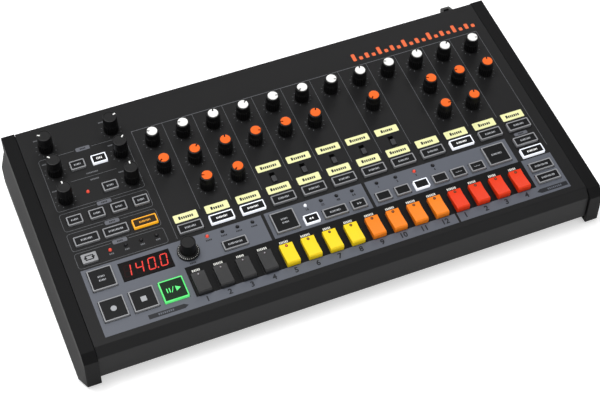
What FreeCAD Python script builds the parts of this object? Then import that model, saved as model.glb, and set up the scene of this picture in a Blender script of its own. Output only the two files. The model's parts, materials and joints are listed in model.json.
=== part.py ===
import FreeCAD, Part
import os
import re
import Sketcher

# Desktop drum machine, millimetres, +Z up, +Y to the rear, origin on the floor
# under the middle of the whole object. The top panel slopes up to the rear.
# Panel pieces are placed by X (across), V (up the slope from the front fold)
# and W (out of the panel, 0 on its top face).

doc = FreeCAD.newDocument("DrumMachine")

sizes = {
    # Case
    "bodyWidth": 462.2,        # top panel, from cheek to cheek
    "panelLength": 238.8,      # up the slope, from the front fold to the rear edge
    "panelTilt": 4.5,          # slope of the top panel, degrees
    "foldHeight": 42.5,        # front fold above the floor
    "bevelRun": 7.0,           # front bevel, as deep as it is high
    "sheetThick": 1.5,         # folded steel sheet
    "bendInside": 0.6,         # inside radius of its bends
    "trayRise": 9.5,           # underside of the tray above the floor
    "flangeTall": 12.0,        # the tray's front and rear flanges
    "seamGap": 0.3,            # between neighbouring case pieces
    # End cheeks
    "cheekWide": 12.6,
    "cheekProud": 2.3,         # in front of the panel's fold
    "cheekTail": 1.1,          # behind the rear panel
    "flareOut": 5.0,           # how far the lower side stands out
    "flareTop": 18.0,          # below the cheek's top edge
    "flareDrop": 20.0,         # height of the slanted band
    "flareNose": 11.0,         # how far the flare stops behind the front
    "cheekWall": 3.0,
    "bossRadius": 4.5,
    "bossInset": 24.0,         # end bosses from the case's ends
    "bossRise": 20.0,          # bosses above the floor
    # Rubber feet
    "footTall": 2.5,
    "footWide": 10.0,
    "footLong": 26.0,
    "footInset": 14.0,         # from the cheek's ends
    # Control board
    "boardDrop": 11.0,         # top of the board below the panel's top face
    "boardThick": 1.6,
    "boardMargin": 5.0,
    "pillarRadius": 2.5,
    "pillarInset": 8.0,        # from the fold and the rear edge
    "pillarSide": 10.1,        # outer pillars from the body's ends
    "pillarMid": 120.0,        # middle row, up the slope
    # Grid of the panel and of the sockets, as placed on a body of the drawn width;
    # on a wider or narrower one they spread out or close up across it
    "drawnWidth": 462.2,
    "columnFirst": -116.45,    # first voice column
    "columnPitch": 29.3,
    "levelRow": 186.6,
    "toneRow": 154.6,
    "decayRow": 122.7,
    "slideRow": 110.2,
    "selectRow": 85.3,
    "gridPitch": 20.28,        # step keys and the small buttons on the left
    "stepFirst": -127.3,
    "stepRow": 26.9,
    "blackLeft": -209.1,
    "blackRight": -147.5,
    "blackTop": 213.3,
    "blackMiddle": 184.8,
    "blackLow": 153.0,
    "dataKnobX": -126.8,
    "lowRow": 61.7,            # display, data knob, upper square pads
    "padRow": 29.5,
    "padFirst": -204.8,
    "padPitch": 26.6,
    "modeRow": 105.1,
    "editRow": 128.0,
    "effectRow": 185.1,
    "sendRow": 152.8,
    "syncRow": 85.4,
    "menuRow": 55.5,
    "menuFirst": 55.7,
    "menuPitch": 18.6,
    "dataButtonX": -85.8,
    "scrollX": -36.8,
    "arrowLeftX": -13.8,
    "lengthX": 8.8,
    "arrowRightX": 31.4,
    "triggerX": 171.2,
    "stackX": 203.8,
    "muteRow": 67.3,
    "soloRow": 53.6,
    "settingsRow": 35.8,
    "fillRow": 22.4,
    "lampRow": 71.4,
    "lampPitch": 14.1,
    "dataLampFirst": -106.0,
    "scrollLampFirst": -13.6,
    "scrollLampPitch": 15.05,
    "leftLampFirst": -189.1,
    "leftLampRow": 88.0,
    "sendLampX": -188.2,
    "sendLampRow": 154.2,
    # Knobs
    "knobLift": 0.8,           # underside above the panel
    "knobFoot": 6.7,           # voice knob, radius of the ribbed skirt
    "knobNeck": 6.35,          # radius above the skirt
    "knobHead": 6.1,           # radius at the head
    "knobTall": 16.0,          # top of the black body
    "capRadius": 4.75,
    "capSeat": 1.0,            # recess under the coloured cap
    "capRise": 0.5,            # cap above the black body
    "notchWide": 1.3,
    "notchStart": 1.6,         # notch from the middle outwards
    "ribRadius": 0.8,
    "ribOut": 0.15,            # groove centres outside the foot radius
    "ribTall": 9.0,
    "blackFoot": 6.9,
    "blackNeck": 6.6,
    "blackHead": 6.4,
    "blackTall": 19.5,
    "tickWide": 1.2,
    "tickLong": 2.6,
    "tickDeep": 1.0,
    "dataRadius": 6.6,
    "dataTall": 16.3,
    "skirtRadius": 10.0,
    "skirtThick": 1.4,
    "dishDeep": 0.4,
    "dishRim": 1.0,
    "snug": 0.05,              # glued and pressed pieces, all round
    "shaftRadius": 3.0,
    "shaftTop": 12.0,          # above the panel, inside the knob
    "shaftTail": 6.5,          # below the panel's top face
    "running": 0.4,            # between moving and fixed pieces
    # Potentiometers
    "potWide": 9.8,
    "potDrop": 4.6,            # top of the can below the panel's top face
    "bushWall": 1.0,
    "bushDrop": 1.9,           # top of the bushing below the panel's top face
    # Buttons
    "buttonRise": 2.2,
    "buttonSink": 1.0,         # underside of the cap below the panel's top face
    "wideLong": 22.2,
    "smallLong": 13.8,
    "buttonDeep": 9.6,
    "squareLong": 21.8,
    "squareDeep": 21.3,
    "frameWide": 1.0,
    "insetDeep": 0.6,
    "insetSink": 0.2,
    "buttonStem": 3.4,
    "buttonStemTail": 8.0,
    "buttonCan": 7.0,
    "buttonCanDrop": 4.0,
    "pressTravel": 0.6,
    # Step keys and the bed that guides them
    "bedThick": 1.8,
    "bedLap": 5.0,
    "keyWide": 12.4,
    "keyLong": 21.2,
    "keySink": 0.2,
    "keyRear": 4.2,
    "keyCrease": 3.7,
    "keyCreaseBack": 7.0,      # crease from the rear end
    "keyFront": 5.6,
    "keyNose": 1.2,            # slope at the front end
    "keyNoseDrop": 1.6,
    "keyStem": 6.0,
    "keyStemTail": 8.2,
    "keyCan": 12.0,
    "keyCanDrop": 4.2,
    "keyTravel": 0.8,
    "keyLampRadius": 1.0,
    "keyLampBack": 2.4,
    "keyLampDeep": 1.2,
    # Slide switches
    "leverWide": 4.2,
    "leverLong": 6.6,
    "leverRise": 1.5,
    "leverTail": 5.4,
    "leverTravel": 4.0,
    "slideCanWide": 8.6,
    "slideCanLong": 14.6,
    "slideCanDrop": 2.2,
    # Lamps and display
    "lampRadius": 1.4,
    "lampRise": 0.2,
    "displayX": -165.1,
    "displayWide": 45.6,
    "displayTall": 19.2,
    "windowRise": 0.4,
    "windowThick": 1.5,
    "moduleMargin": 1.0,
    # Rear: sockets sit on the jack board behind the rear panel
    "jackFirst": -213.0,
    "jackPitch": 22.0,
    "socketRise": 34.0,        # jack axes above the floor
    "jackWide": 15.0,
    "jackTall": 14.0,
    "jackDeep": 26.0,
    "collarRadius": 5.5,
    "collarOut": 3.5,
    "plugRadius": 3.3,
    "plugDeep": 24.0,
    "nutRadius": 7.2,
    "nutThick": 2.2,
    "midiFirst": 79.0,
    "midiPitch": 22.0,
    "midiWide": 19.0,
    "midiTall": 18.0,
    "midiDeep": 14.0,
    "midiRadius": 6.7,
    "midiRim": 1.0,
    "midiHole": 9.0,
    "dataSocketX": 144.5,
    "dataSocketWide": 12.6,
    "dataSocketTall": 11.6,
    "dataSocketDeep": 16.5,
    "dataHoleWide": 8.6,
    "dataHoleTall": 7.9,
    "supplyX": 163.0,
    "supplyWide": 9.6,
    "supplyTall": 11.0,
    "supplyDeep": 14.0,
    "supplyRadius": 3.0,
    "switchX": 185.0,
    "switchWide": 21.0,
    "switchTall": 15.6,
    "switchHoleWide": 17.0,
    "switchHoleTall": 12.2,
    "switchOut": 1.6,
    "switchDeep": 14.0,
    "rockerReach": 3.6,        # tips in front of the pivot
    "rockerHalf": 4.9,
    "rockerWaist": 1.6,
    "rockerBack": 3.0,
    "rockerTilt": 11.0,        # rest pose: switched off
    "pivotRadius": 1.0,
    "pivotSlack": 0.15,
    "pivotReach": 1.0,         # the pin's ends inside the frame's side walls
    "pivotBack": 0.4,          # the pin's axis in from the rear panel's outer face
    "jackBoardDeep": 44.0,
    "jackBoardSide": 9.1,      # its ends from the body's ends
    "postRadius": 3.2,
    "hookX": 211.0,
    "hookReach": 15.0,
    "hookDrop": 12.0,          # hook below the panel's rear edge
    "hookWide": 17.5,
    "hookTip": 9.6,
    "hookThick": 4.0,
    "hookBar": 3.2,
    "hookPlateWide": 24.0,
    "hookPlateTall": 10.0,
    "hookPlateThick": 2.0,
    # Screws
    "screwHead": 2.8,
    "screwHeadTall": 1.6,
    "screwShank": 1.4,
    "screwLong": 7.0,
    "screwSlack": 0.3,
}

sheet = doc.addObject("Spreadsheet::Sheet", "Sizes")
for row, (name, value) in enumerate(sizes.items(), start=1):
    sheet.set("A%d" % row, name)
    sheet.set("B%d" % row, str(value))
    sheet.setAlias("B%d" % row, name)
doc.recompute()

# Places that several pieces share, written with the names of the sheet
tilt = "panelTilt"
panelRun = "(panelLength * cos(panelTilt))"
depth = "(cheekProud + bevelRun + %s + hookReach)" % panelRun
foldY = "(cheekProud + bevelRun - %s / 2)" % depth
rearY = "(%s + %s)" % (foldY, panelRun)
rearZ = "(foldHeight + panelLength * sin(panelTilt))"
lipY = "(%s - bevelRun)" % foldY
innerY = "(%s - sheetThick)" % rearY
halfBody = "(bodyWidth / 2)"
cheekInner = "(%s + seamGap)" % halfBody
cheekOuter = "(%s + cheekWide)" % cheekInner
spread = "(bodyWidth / drawnWidth)"
bedTop = "(0 - sheetThick)"
boardTop = "(0 - boardDrop)"

nodes = []


def filled(text):
    # Names of the sheet in an expression become references to its cells
    return re.sub(r"[A-Za-z]\w*", lambda found: "Sizes." + found.group(0)
                  if found.group(0) in sizes else found.group(0), str(text))


def number(text):
    return float(sheet.evalExpression(filled(text)))


def bind(item, **properties):
    for name, text in properties.items():
        item.setExpression(name, filled(text))
    return item


def put(item, x="0", y="0", z="0", turn=None):
    # turn: (axis, angle), turned about the item's own origin
    if turn is None:
        turn = ("0; 0; 1", "0")
    item.setExpression("Placement", filled(
        "placement(vector(%s; %s; %s); rotation(vector(%s); %s))" % (x, y, z, turn[0], turn[1])))
    return item


def onPanel(item, x="0", v="0", w="0", angle="0"):
    # From panel places (X, V, W) to the case, with a turn about the panel's normal
    item.setExpression("Placement", filled(
        "placement(vector(0; %s; foldHeight); rotation(vector(1; 0; 0); %s))"
        " * placement(vector(%s; %s; %s); rotation(vector(0; 0; 1); %s))"
        % (foldY, tilt, x, v, w, angle)))
    return item


def block(x, y, z):
    # x, y and z: (low, high)
    item = doc.addObject("Part::Box", "Block")
    bind(item, Length="(%s) - (%s)" % (x[1], x[0]), Width="(%s) - (%s)" % (y[1], y[0]),
         Height="(%s) - (%s)" % (z[1], z[0]))
    return put(item, x[0], y[0], z[0])


def centred(wide, long, z, x="0", y="0"):
    return block(("(%s) - (%s) / 2" % (x, wide), "(%s) + (%s) / 2" % (x, wide)),
                 ("(%s) - (%s) / 2" % (y, long), "(%s) + (%s) / 2" % (y, long)), z)


def post(radius, z, x="0", y="0"):
    item = doc.addObject("Part::Cylinder", "Post")
    bind(item, Radius=radius, Height="(%s) - (%s)" % (z[1], z[0]))
    return put(item, x, y, z[0])


def bar(radius, y, x="0", z="0"):
    # A round bar from front to rear
    item = doc.addObject("Part::Cylinder", "Bar")
    bind(item, Radius=radius, Height="(%s) - (%s)" % (y[1], y[0]))
    return put(item, x, y[1], z, ("1; 0; 0", "90"))


def pin(radius, x, y="0", z="0"):
    # A round bar across
    item = doc.addObject("Part::Cylinder", "Pin")
    bind(item, Radius=radius, Height="(%s) - (%s)" % (x[1], x[0]))
    return put(item, x[0], y, z, ("0; 1; 0", "90"))


def taper(foot, head, z):
    item = doc.addObject("Part::Cone", "Taper")
    return put(bind(item, Radius1=foot, Radius2=head, Height="(%s) - (%s)" % (z[1], z[0])), z=z[0])


def ball(radius, z):
    item = doc.addObject("Part::Sphere", "Ball")
    return put(bind(item, Radius=radius), z=z)


def group(*items):
    result = doc.addObject("Part::Compound", "Group")
    result.Links = list(items)
    return result


def joined(*items):
    result = doc.addObject("Part::MultiFuse", "Joined")
    result.Shapes = list(items)
    return result


def trimmed(base, *tools):
    result = doc.addObject("Part::Cut", "Trimmed")
    result.Base = base
    result.Tool = tools[0] if len(tools) == 1 else group(*tools)
    return result


def across(x):
    # A drawn place across the body, spread to the body's width
    return "(%s * %s)" % (x, spread)


def copies(item, spots):
    # One copy at each (x, v) of the panel
    return [put(group(item), x, v) for x, v in spots]


def node(item, label):
    item.Label = label
    nodes.append(item)
    return item


def outline(body, role, points, offset=None):
    # A closed sketch through the given corners, each bound to the sheet
    sketch = body.newObject("Sketcher::SketchObject", "Outline")
    plane = [part for part in body.Origin.OriginFeatures if part.Role == role][0]
    sketch.AttachmentSupport = [(plane, "")]
    sketch.MapMode = "FlatFace"
    if offset is not None:
        sketch.setExpression("AttachmentOffset.Base.z", filled(offset))
    corners = [FreeCAD.Vector(number(a), number(b), 0) for a, b in points]
    count = len(corners)
    for i, corner in enumerate(corners):
        sketch.addGeometry(Part.LineSegment(corner, corners[(i + 1) % count]), False)
    for i in range(count):
        sketch.addConstraint(Sketcher.Constraint("Coincident", i, 2, (i + 1) % count, 1))
    for i, (right, up) in enumerate(points):
        first = sketch.addConstraint(Sketcher.Constraint("DistanceX", -1, 1, i, 1, corners[i].x))
        sketch.setExpression("Constraints[%d]" % first, filled(right))
        second = sketch.addConstraint(Sketcher.Constraint("DistanceY", -1, 1, i, 1, corners[i].y))
        sketch.setExpression("Constraints[%d]" % second, filled(up))
    return sketch


def prism(name, role, points, length, middle=True, offset=None):
    body = doc.addObject("PartDesign::Body", name)
    pad = body.newObject("PartDesign::Pad", "Pad")
    pad.Profile = outline(body, role, points, offset)
    pad.SideType = "Symmetric" if middle else "One side"
    pad.setExpression("Length", filled(length))
    body.Tip = pad
    return body


def bent(body, corners, radius):
    # Rounds the edges that run across through the given (y, z) corners of a side view
    doc.recompute()
    pad = body.Tip
    spots = [(number(y), number(z)) for y, z in corners]
    names = []
    for i, edge in enumerate(pad.Shape.Edges, start=1):
        middle = edge.CenterOfMass
        if any(abs(middle.y - y) + abs(middle.z - z) < 0.001 for y, z in spots):
            names.append("Edge%d" % i)
    fillet = body.newObject("PartDesign::Fillet", "Bend")
    fillet.Base = (pad, names)
    fillet.setExpression("Radius", filled(radius))
    body.Tip = fillet
    return body


def column(i):
    # Voice columns count from 1
    return across("(columnFirst + %d * columnPitch)" % (i - 1))


def step(i):
    # Step keys count from 1; the left-hand buttons use the same grid below 1
    return across("(stepFirst + %d * gridPitch)" % (i - 1))


# Where the controls stand on the panel, as (X, V)

levelSpots = [(column(i), "levelRow") for i in range(1, 13)]
toneSpots = [(column(i), "toneRow") for i in (1, 2, 3, 4, 5, 6, 8, 10, 11, 12)]
decaySpots = [(column(i), "decayRow") for i in (2, 3, 10, 11)]
blackSpots = [(across(x), v) for x in ("blackLeft", "blackRight")
              for v in ("blackTop", "blackMiddle", "blackLow")]
dataSpot = (across("dataKnobX"), "lowRow")
displaySpot = (across("displayX"), "lowRow")
slideSpots = [(column(i), "slideRow") for i in range(4, 9)]
selectSpots = [(column(i), "selectRow") for i in range(1, 13)]
stepSpots = [(step(i), "stepRow") for i in range(1, 17)]
padX = [across("(padFirst + %d * padPitch)" % i) for i in range(3)]
menuX = [across("(menuFirst + %d * menuPitch)" % i) for i in range(6)]
squareSpots = [(padX[0], "padRow"), (padX[1], "padRow"), (padX[2], "padRow"), (padX[0], "lowRow"),
               (across("scrollX"), "lowRow"), (across("triggerX"), "lowRow")]
wideSpots = [(x, "modeRow") for x in padX] + [(across(x), "menuRow") for x in ("dataButtonX", "lengthX")]
wideSpots += [(across("stackX"), v) for v in ("muteRow", "soloRow", "settingsRow", "fillRow")]
smallSpots = [(step(-2), "effectRow"), (step(-1), "effectRow"), (step(-1), "sendRow"), (step(-3), "syncRow")]
smallSpots += [(step(i), "editRow") for i in (-3, -2, -1, 0)]
smallSpots += [(across(x), "menuRow") for x in ("arrowLeftX", "arrowRightX")]
smallSpots += [(x, "menuRow") for x in menuX]
lampSpots = [(across("(dataLampFirst + %d * lampPitch)" % i), "lampRow") for i in range(4)]
lampSpots += [(across("(scrollLampFirst + %d * scrollLampPitch)" % i), "lampRow") for i in range(4)]
lampSpots += [(x, "lampRow") for x in menuX[:4]]
lampSpots += [(across("(leftLampFirst + %d * lampPitch)" % i), "leftLampRow") for i in range(4)]
lampSpots += [(across("sendLampX"), "sendLampRow")]
knobSpots = levelSpots + toneSpots + decaySpots + blackSpots + [dataSpot]
buttonSpots = selectSpots + wideSpots + smallSpots + squareSpots

# Case: top panel with every opening, tray, rear panel


def makeTopPanel():
    bend = "(sheetThick * tan((45 - %s) / 2))" % tilt
    profile = [
        (rearY, rearZ),
        (foldY, "foldHeight"),
        (lipY, "foldHeight - bevelRun"),
        (lipY, "trayRise"),
        ("%s + sheetThick" % lipY, "trayRise"),
        ("%s + sheetThick" % lipY, "foldHeight - bevelRun - sheetThick * tan(22.5)"),
        ("%s + %s * cos(%s) + sheetThick * sin(%s)" % (foldY, bend, tilt, tilt),
         "foldHeight + %s * sin(%s) - sheetThick * cos(%s)" % (bend, tilt, tilt)),
        (rearY, "%s - sheetThick / cos(%s)" % (rearZ, tilt)),
    ]
    plate = prism("TopSheet", "YZ_Plane", profile, "bodyWidth")
    bent(plate, profile[1:3], "bendInside + sheetThick")
    bent(plate, profile[5:7], "bendInside")
    through = ("0 - sheetThick - 2", "2")
    openings = copies(post("shaftRadius + 2 * running", through), knobSpots)
    openings += copies(centred("wideLong + 2 * running", "buttonDeep + 2 * running", through),
                       selectSpots + wideSpots)
    openings += copies(centred("smallLong + 2 * running", "buttonDeep + 2 * running", through), smallSpots)
    openings += copies(centred("squareLong + 2 * running", "squareDeep + 2 * running", through), squareSpots)
    openings += copies(centred("leverWide + 2 * running", "leverLong + leverTravel + 2 * running", through),
                       slideSpots)
    openings += copies(post("lampRadius + running", through), lampSpots)
    openings += copies(centred("displayWide + 2 * seamGap", "displayTall + 2 * seamGap", through),
                       [displaySpot])
    openings += copies(centred("keyWide + 2 * running", "keyLong + 2 * running", through), stepSpots)
    node(trimmed(plate, onPanel(group(*openings))), "top_panel")


def trayEnd(side):
    # side: 1 is the right-hand wall, -1 the left
    low = "trayRise"
    top = "- sheetThick / cos(%s) - seamGap" % tilt
    front = "(%s + sheetThick + seamGap)" % lipY
    back = "(%s - seamGap)" % innerY
    slope = "(foldHeight + (%s - %s) * tan(%s) %s)"
    corner = "(%s + bevelRun)" % front
    profile = [
        (front, low),
        (back, low),
        (back, slope % (back, foldY, tilt, top)),
        (corner, slope % (corner, foldY, tilt, top)),
        (front, "foldHeight - bevelRun - 2 * sheetThick"),
    ]
    offset = "%s - sheetThick" % halfBody if side > 0 else "0 - %s" % halfBody
    return prism("TrayEnd", "YZ_Plane", profile, "sheetThick", middle=False, offset=offset)


boardSide = "(%s - jackBoardSide)" % halfBody
postSpots = [("(%d * %s / 3)" % (i, boardSide), y) for i in (-2, 0, 2)
             for y in ("(%s - jackBoardDeep + 2 * postRadius)" % innerY, "(%s - 2.5 * postRadius)" % innerY)]
cheekScrewY = ["(%s + bossInset)" % lipY, "(%s + %s) / 2" % (lipY, rearY), "(%s - bossInset)" % rearY]
rearScrewX = ["(%d * %s / 3)" % (i, boardSide) for i in (-3, -1, 1, 3)]
rearScrewZ = "(trayRise + flangeTall / 2)"


def makeTray():
    front = "(%s + sheetThick + seamGap)" % lipY
    back = "(%s - seamGap)" % innerY
    profile = [
        (front, "trayRise"),
        (back, "trayRise"),
        (back, "trayRise + flangeTall"),
        ("%s - sheetThick" % back, "trayRise + flangeTall"),
        ("%s - sheetThick" % back, "trayRise + sheetThick"),
        ("%s + sheetThick" % front, "trayRise + sheetThick"),
        ("%s + sheetThick" % front, "trayRise + flangeTall"),
        (front, "trayRise + flangeTall"),
    ]
    base = prism("TrayBase", "YZ_Plane", profile, "bodyWidth")
    shell = joined(base, trayEnd(1), trayEnd(-1))
    hole = "screwShank + screwSlack"
    holes = [post(hole, ("trayRise - 1", "trayRise + sheetThick + 1"), x, y) for x, y in postSpots]
    holes += [pin(hole, ("0 - %s - 1" % halfBody, "%s + 1" % halfBody), y, "bossRise") for y in cheekScrewY]
    holes += [bar(hole, ("%s - sheetThick - 1" % back, "%s + 1" % back), x, rearScrewZ) for x in rearScrewX]
    node(trimmed(shell, *holes), "bottom_tray")


def makeRearPanel():
    top = "(%s - sheetThick / cos(%s) - sheetThick * tan(%s) - seamGap / 2)" % (rearZ, tilt, tilt)
    plate = block(("0 - %s" % halfBody, halfBody), (innerY, rearY), ("trayRise", top))
    through = ("%s - 2" % innerY, "%s + 2" % rearY)
    holes = [bar("collarRadius + seamGap", through, x, "socketRise") for x in jackX]
    holes += [bar("midiRadius + midiRim + seamGap", through, x, midiZ) for x in midiX]
    holes += [block(("%s - dataHoleWide / 2 - seamGap" % dataX, "%s + dataHoleWide / 2 + seamGap" % dataX),
                    through,
                    ("%s - dataHoleTall / 2 - seamGap" % dataZ, "%s + dataHoleTall / 2 + seamGap" % dataZ))]
    holes += [bar("supplyRadius + seamGap", through, supplyX, supplyZ)]
    holes += [block(("%s - switchWide / 2 + 1" % switchX, "%s + switchWide / 2 - 1" % switchX), through,
                    ("socketRise - switchTall / 2 + 1", "socketRise + switchTall / 2 - 1"))]
    holes += [bar("screwShank + screwSlack", through, x, rearScrewZ) for x in rearScrewX]
    node(trimmed(plate, *holes), "rear_panel")


# End cheeks: hollow mouldings with a flared lower side and screw bosses


def cheekProfile(inset):
    # The side view of a cheek, drawn in by inset all round
    front = "(%s - cheekProud + %s)" % (lipY, inset)
    back = "(%s + cheekTail - %s)" % (rearY, inset)
    foldFront = "(%s - cheekProud + %s / 2)" % (foldY, inset)
    top = "(foldHeight + (%s - %s) * tan(%s) - %s)"
    foldTop = top % (foldFront, foldY, tilt, inset)
    return [
        (front, "footTall + %s" % inset),
        (back, "footTall + %s" % inset),
        (back, top % (back, foldY, tilt, inset)),
        (foldFront, foldTop),
        (front, "%s - bevelRun + %s / 2" % (foldTop, inset)),
    ]


def flare(side):
    # side: 1 is the right-hand cheek, -1 the left
    front = "(%s - cheekProud)" % lipY
    back = "(%s + cheekTail)" % rearY
    edge = "(foldHeight + (%s - %s) * tan(%s) - %s)"
    noseY = "(%s + flareNose)" % front
    inner = [
        (front, "footTall"),
        (back, "footTall"),
        (back, edge % (back, foldY, tilt, "flareTop")),
        (front, edge % (front, foldY, tilt, "flareTop")),
    ]
    low = "(flareTop + flareDrop)"
    outer = [
        (noseY, "footTall"),
        (back, "footTall"),
        (back, edge % (back, foldY, tilt, low)),
        (noseY, edge % (noseY, foldY, tilt, low)),
    ]
    sign = "" if side > 0 else "0 - "
    body = doc.addObject("PartDesign::Body", "Flare")
    loft = body.newObject("PartDesign::AdditiveLoft", "Loft")
    loft.Profile = outline(body, "YZ_Plane", inner, "%s%s" % (sign, cheekOuter))
    loft.Sections = [outline(body, "YZ_Plane", outer, "%s(%s + flareOut)" % (sign, cheekOuter))]
    loft.Ruled = True
    body.Tip = loft
    return body


def makeCheek(side, label):
    sign = "" if side > 0 else "0 - "
    start = cheekInner if side > 0 else "0 - %s" % cheekOuter
    shell = prism("CheekShell", "YZ_Plane", cheekProfile("0"), "cheekWide", middle=False, offset=start)
    pocketStart = cheekInner if side > 0 else "0 - (%s - cheekWall)" % cheekOuter
    pocket = prism("CheekPocket", "YZ_Plane", cheekProfile("cheekWall"), "cheekWide - cheekWall",
                   middle=False, offset=pocketStart)
    hollow = trimmed(joined(shell, flare(side)), pocket)
    near = "%s%s" % (sign, cheekInner)
    far = "%s(%s - cheekWall)" % (sign, cheekOuter)
    ends = (near, far) if side > 0 else (far, near)
    bosses = [pin("bossRadius", ends, y, "bossRise") for y in cheekScrewY]
    tip = "%s(%s + screwLong)" % (sign, cheekInner)
    bore = (near, tip) if side > 0 else (tip, near)
    bores = [pin("screwShank + screwSlack", bore, y, "bossRise") for y in cheekScrewY]
    node(trimmed(joined(hollow, *bosses), *bores), label)


def makeFeet():
    middle = "(%s + (cheekWide + flareOut) / 2)" % cheekInner
    front = "(%s - cheekProud + flareNose + footInset)" % lipY
    back = "(%s + cheekTail - footInset)" % rearY
    feet = [centred("footWide", "footLong", ("0", "footTall"), "%s%s" % (sign, middle), y)
            for sign in ("", "0 - ") for y in (front, back)]
    node(group(*feet), "rubber_feet")


# Boards


def makeControlBoard():
    low = "(0 - boardDrop - boardThick)"
    board = block(("0 - %s + boardMargin" % halfBody, "%s - boardMargin" % halfBody),
                  ("boardMargin", "panelLength - boardMargin"), (low, boardTop))
    side = "(%s - pillarSide)" % halfBody
    spots = [(x, v) for x in ("0 - " + side, side)
             for v in ("pillarInset", "pillarMid", "panelLength - pillarInset")]
    spots += [("0", "pillarInset"), ("0", "panelLength - pillarInset")]
    pillars = copies(post("pillarRadius", (boardTop, bedTop)), spots)
    node(onPanel(group(board, *pillars)), "control_board")


def makeJackBoard():
    top = "(socketRise - jackTall / 2)"
    board = block(("0 - " + boardSide, boardSide),
                  ("%s - jackBoardDeep" % innerY, "%s - 2" % innerY), ("%s - boardThick" % top, top))
    floor = "(trayRise + sheetThick)"
    posts = []
    for x, y in postSpots:
        hole = post("screwShank + screwSlack", (floor, "%s + screwLong" % floor), x, y)
        posts.append(trimmed(post("postRadius", (floor, "%s - boardThick" % top), x, y), hole))
    node(group(board, *posts), "jack_board")


# Knobs: the pointer looks up the slope before each knob is turned to its place


def ribbed(foot, neck, head, tall):
    # A straight skirt with eighteen grooves and a smooth, narrower head
    groove = post("ribRadius", ("0", "knobLift + ribTall + 1"), "%s + ribOut" % foot)
    grooves = [put(group(groove), turn=("0; 0; 1", "%d" % (20 * i + 10))) for i in range(18)]
    skirt = trimmed(post(foot, ("knobLift", "knobLift + ribTall")), *grooves)
    return joined(skirt, taper(neck, head, ("knobLift + ribTall", tall)))


def makeShaft():
    return post("shaftRadius", ("0 - shaftTail", "shaftTop"))


def voiceKnob():
    body = ribbed("knobFoot", "knobNeck", "knobHead", "knobTall")
    seat = post("capRadius + snug", ("knobTall - capSeat", "knobTall + 1"))
    bore = post("shaftRadius + snug", ("0", "shaftTop"))
    notch = block(("0 - notchWide / 2", "notchWide / 2"), ("notchStart", "capRadius + 1"),
                  ("knobTall - capSeat - 1", "knobTall + capRise + 1"))
    cap = trimmed(post("capRadius", ("knobTall - capSeat", "knobTall + capRise")), notch)
    return [trimmed(body, seat, bore), cap, makeShaft()]


def blackKnob():
    body = ribbed("blackFoot", "blackNeck", "blackHead", "blackTall")
    dish = post("blackHead - dishRim", ("blackTall - dishDeep", "blackTall + 1"))
    bore = post("shaftRadius + snug", ("0", "shaftTop"))
    far = "(blackHead - 0.3)"
    slot = block(("0 - tickWide / 2 - snug", "tickWide / 2 + snug"),
                 ("%s - tickLong - snug" % far, "blackHead + 1"),
                 ("blackTall - tickDeep", "blackTall + 1"))
    tick = block(("0 - tickWide / 2", "tickWide / 2"), ("%s - tickLong" % far, far),
                 ("blackTall - tickDeep", "blackTall"))
    return [trimmed(body, dish, bore, slot), tick, makeShaft()]


def dataKnob():
    grip = post("dataRadius", ("knobLift", "dataTall"))
    skirt = post("skirtRadius", ("knobLift", "knobLift + skirtThick"))
    dish = post("dataRadius - dishRim", ("dataTall - dishDeep", "dataTall + 1"))
    bore = post("shaftRadius + snug", ("0", "shaftTop"))
    return [trimmed(joined(grip, skirt), dish, bore), makeShaft()]


# Pointer angles of the photographed setting, clockwise from straight up the slope

levelTurns = (-69, -69, 14, 45, 101, -121, 120, 12, -60, 19, 48, 111)
toneTurns = (-122, 45, 9, 111, -79, 23, -133, -69, -79, 15)
decayTurns = (-69, -134, 101, 14)
blackTurns = (-69, -42, -2, 71, 47, 6)


def makeKnobs():
    voice = voiceKnob()
    black = blackKnob()
    rows = [
        ("level_knob_%s", voice, levelSpots, levelTurns, range(1, 13)),
        ("tone_knob_%s", voice, toneSpots, toneTurns, (1, 2, 3, 4, 5, 6, 8, 10, 11, 12)),
        ("decay_knob_%s", voice, decaySpots, decayTurns, (2, 3, 10, 11)),
        ("black_knob_%s", black, blackSpots, blackTurns, range(1, 7)),
        ("data_knob%s", dataKnob(), [dataSpot], (0,), ("",)),
    ]
    for label, pieces, spots, turns, marks in rows:
        for (x, v), turn, mark in zip(spots, turns, marks):
            node(onPanel(group(*pieces), x, v, angle="%d" % -turn), label % mark)


def makePotentiometers():
    can = centred("potWide", "potWide", (boardTop, "0 - potDrop"))
    bush = post("shaftRadius + running + bushWall", ("0 - potDrop", "0 - bushDrop"))
    bore = post("shaftRadius + running", ("0 - shaftTail - running", "0"))
    pot = trimmed(joined(can, bush), bore)
    node(onPanel(group(*copies(pot, knobSpots))), "potentiometers")


# Buttons: a pale frame, a dark legend plate set into it and a plunger


def button(long, deep):
    frame = centred(long, deep, ("0 - buttonSink", "buttonRise"))
    seat = centred("%s - 2 * frameWide" % long, "%s - 2 * frameWide" % deep,
                   ("buttonRise - insetSink - insetDeep", "buttonRise + 1"))
    plate = centred("%s - 2 * frameWide - 2 * snug" % long, "%s - 2 * frameWide - 2 * snug" % deep,
                    ("buttonRise - insetSink - insetDeep", "buttonRise - insetSink"))
    plunger = centred("buttonStem", "buttonStem", ("0 - buttonStemTail", "0 - buttonSink"))
    return group(trimmed(frame, seat), plate, plunger)


def makeButtons():
    wide = button("wideLong", "buttonDeep")
    small = button("smallLong", "buttonDeep")
    square = button("squareLong", "squareDeep")
    node(onPanel(group(*copies(wide, selectSpots))), "select_buttons")
    node(onPanel(group(*copies(wide, wideSpots), *copies(small, smallSpots))), "function_buttons")
    node(onPanel(group(*copies(square, squareSpots))), "square_pads")


# Step keys: caps with a crease near the rear and a raised front, a lamp and a stem


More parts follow.
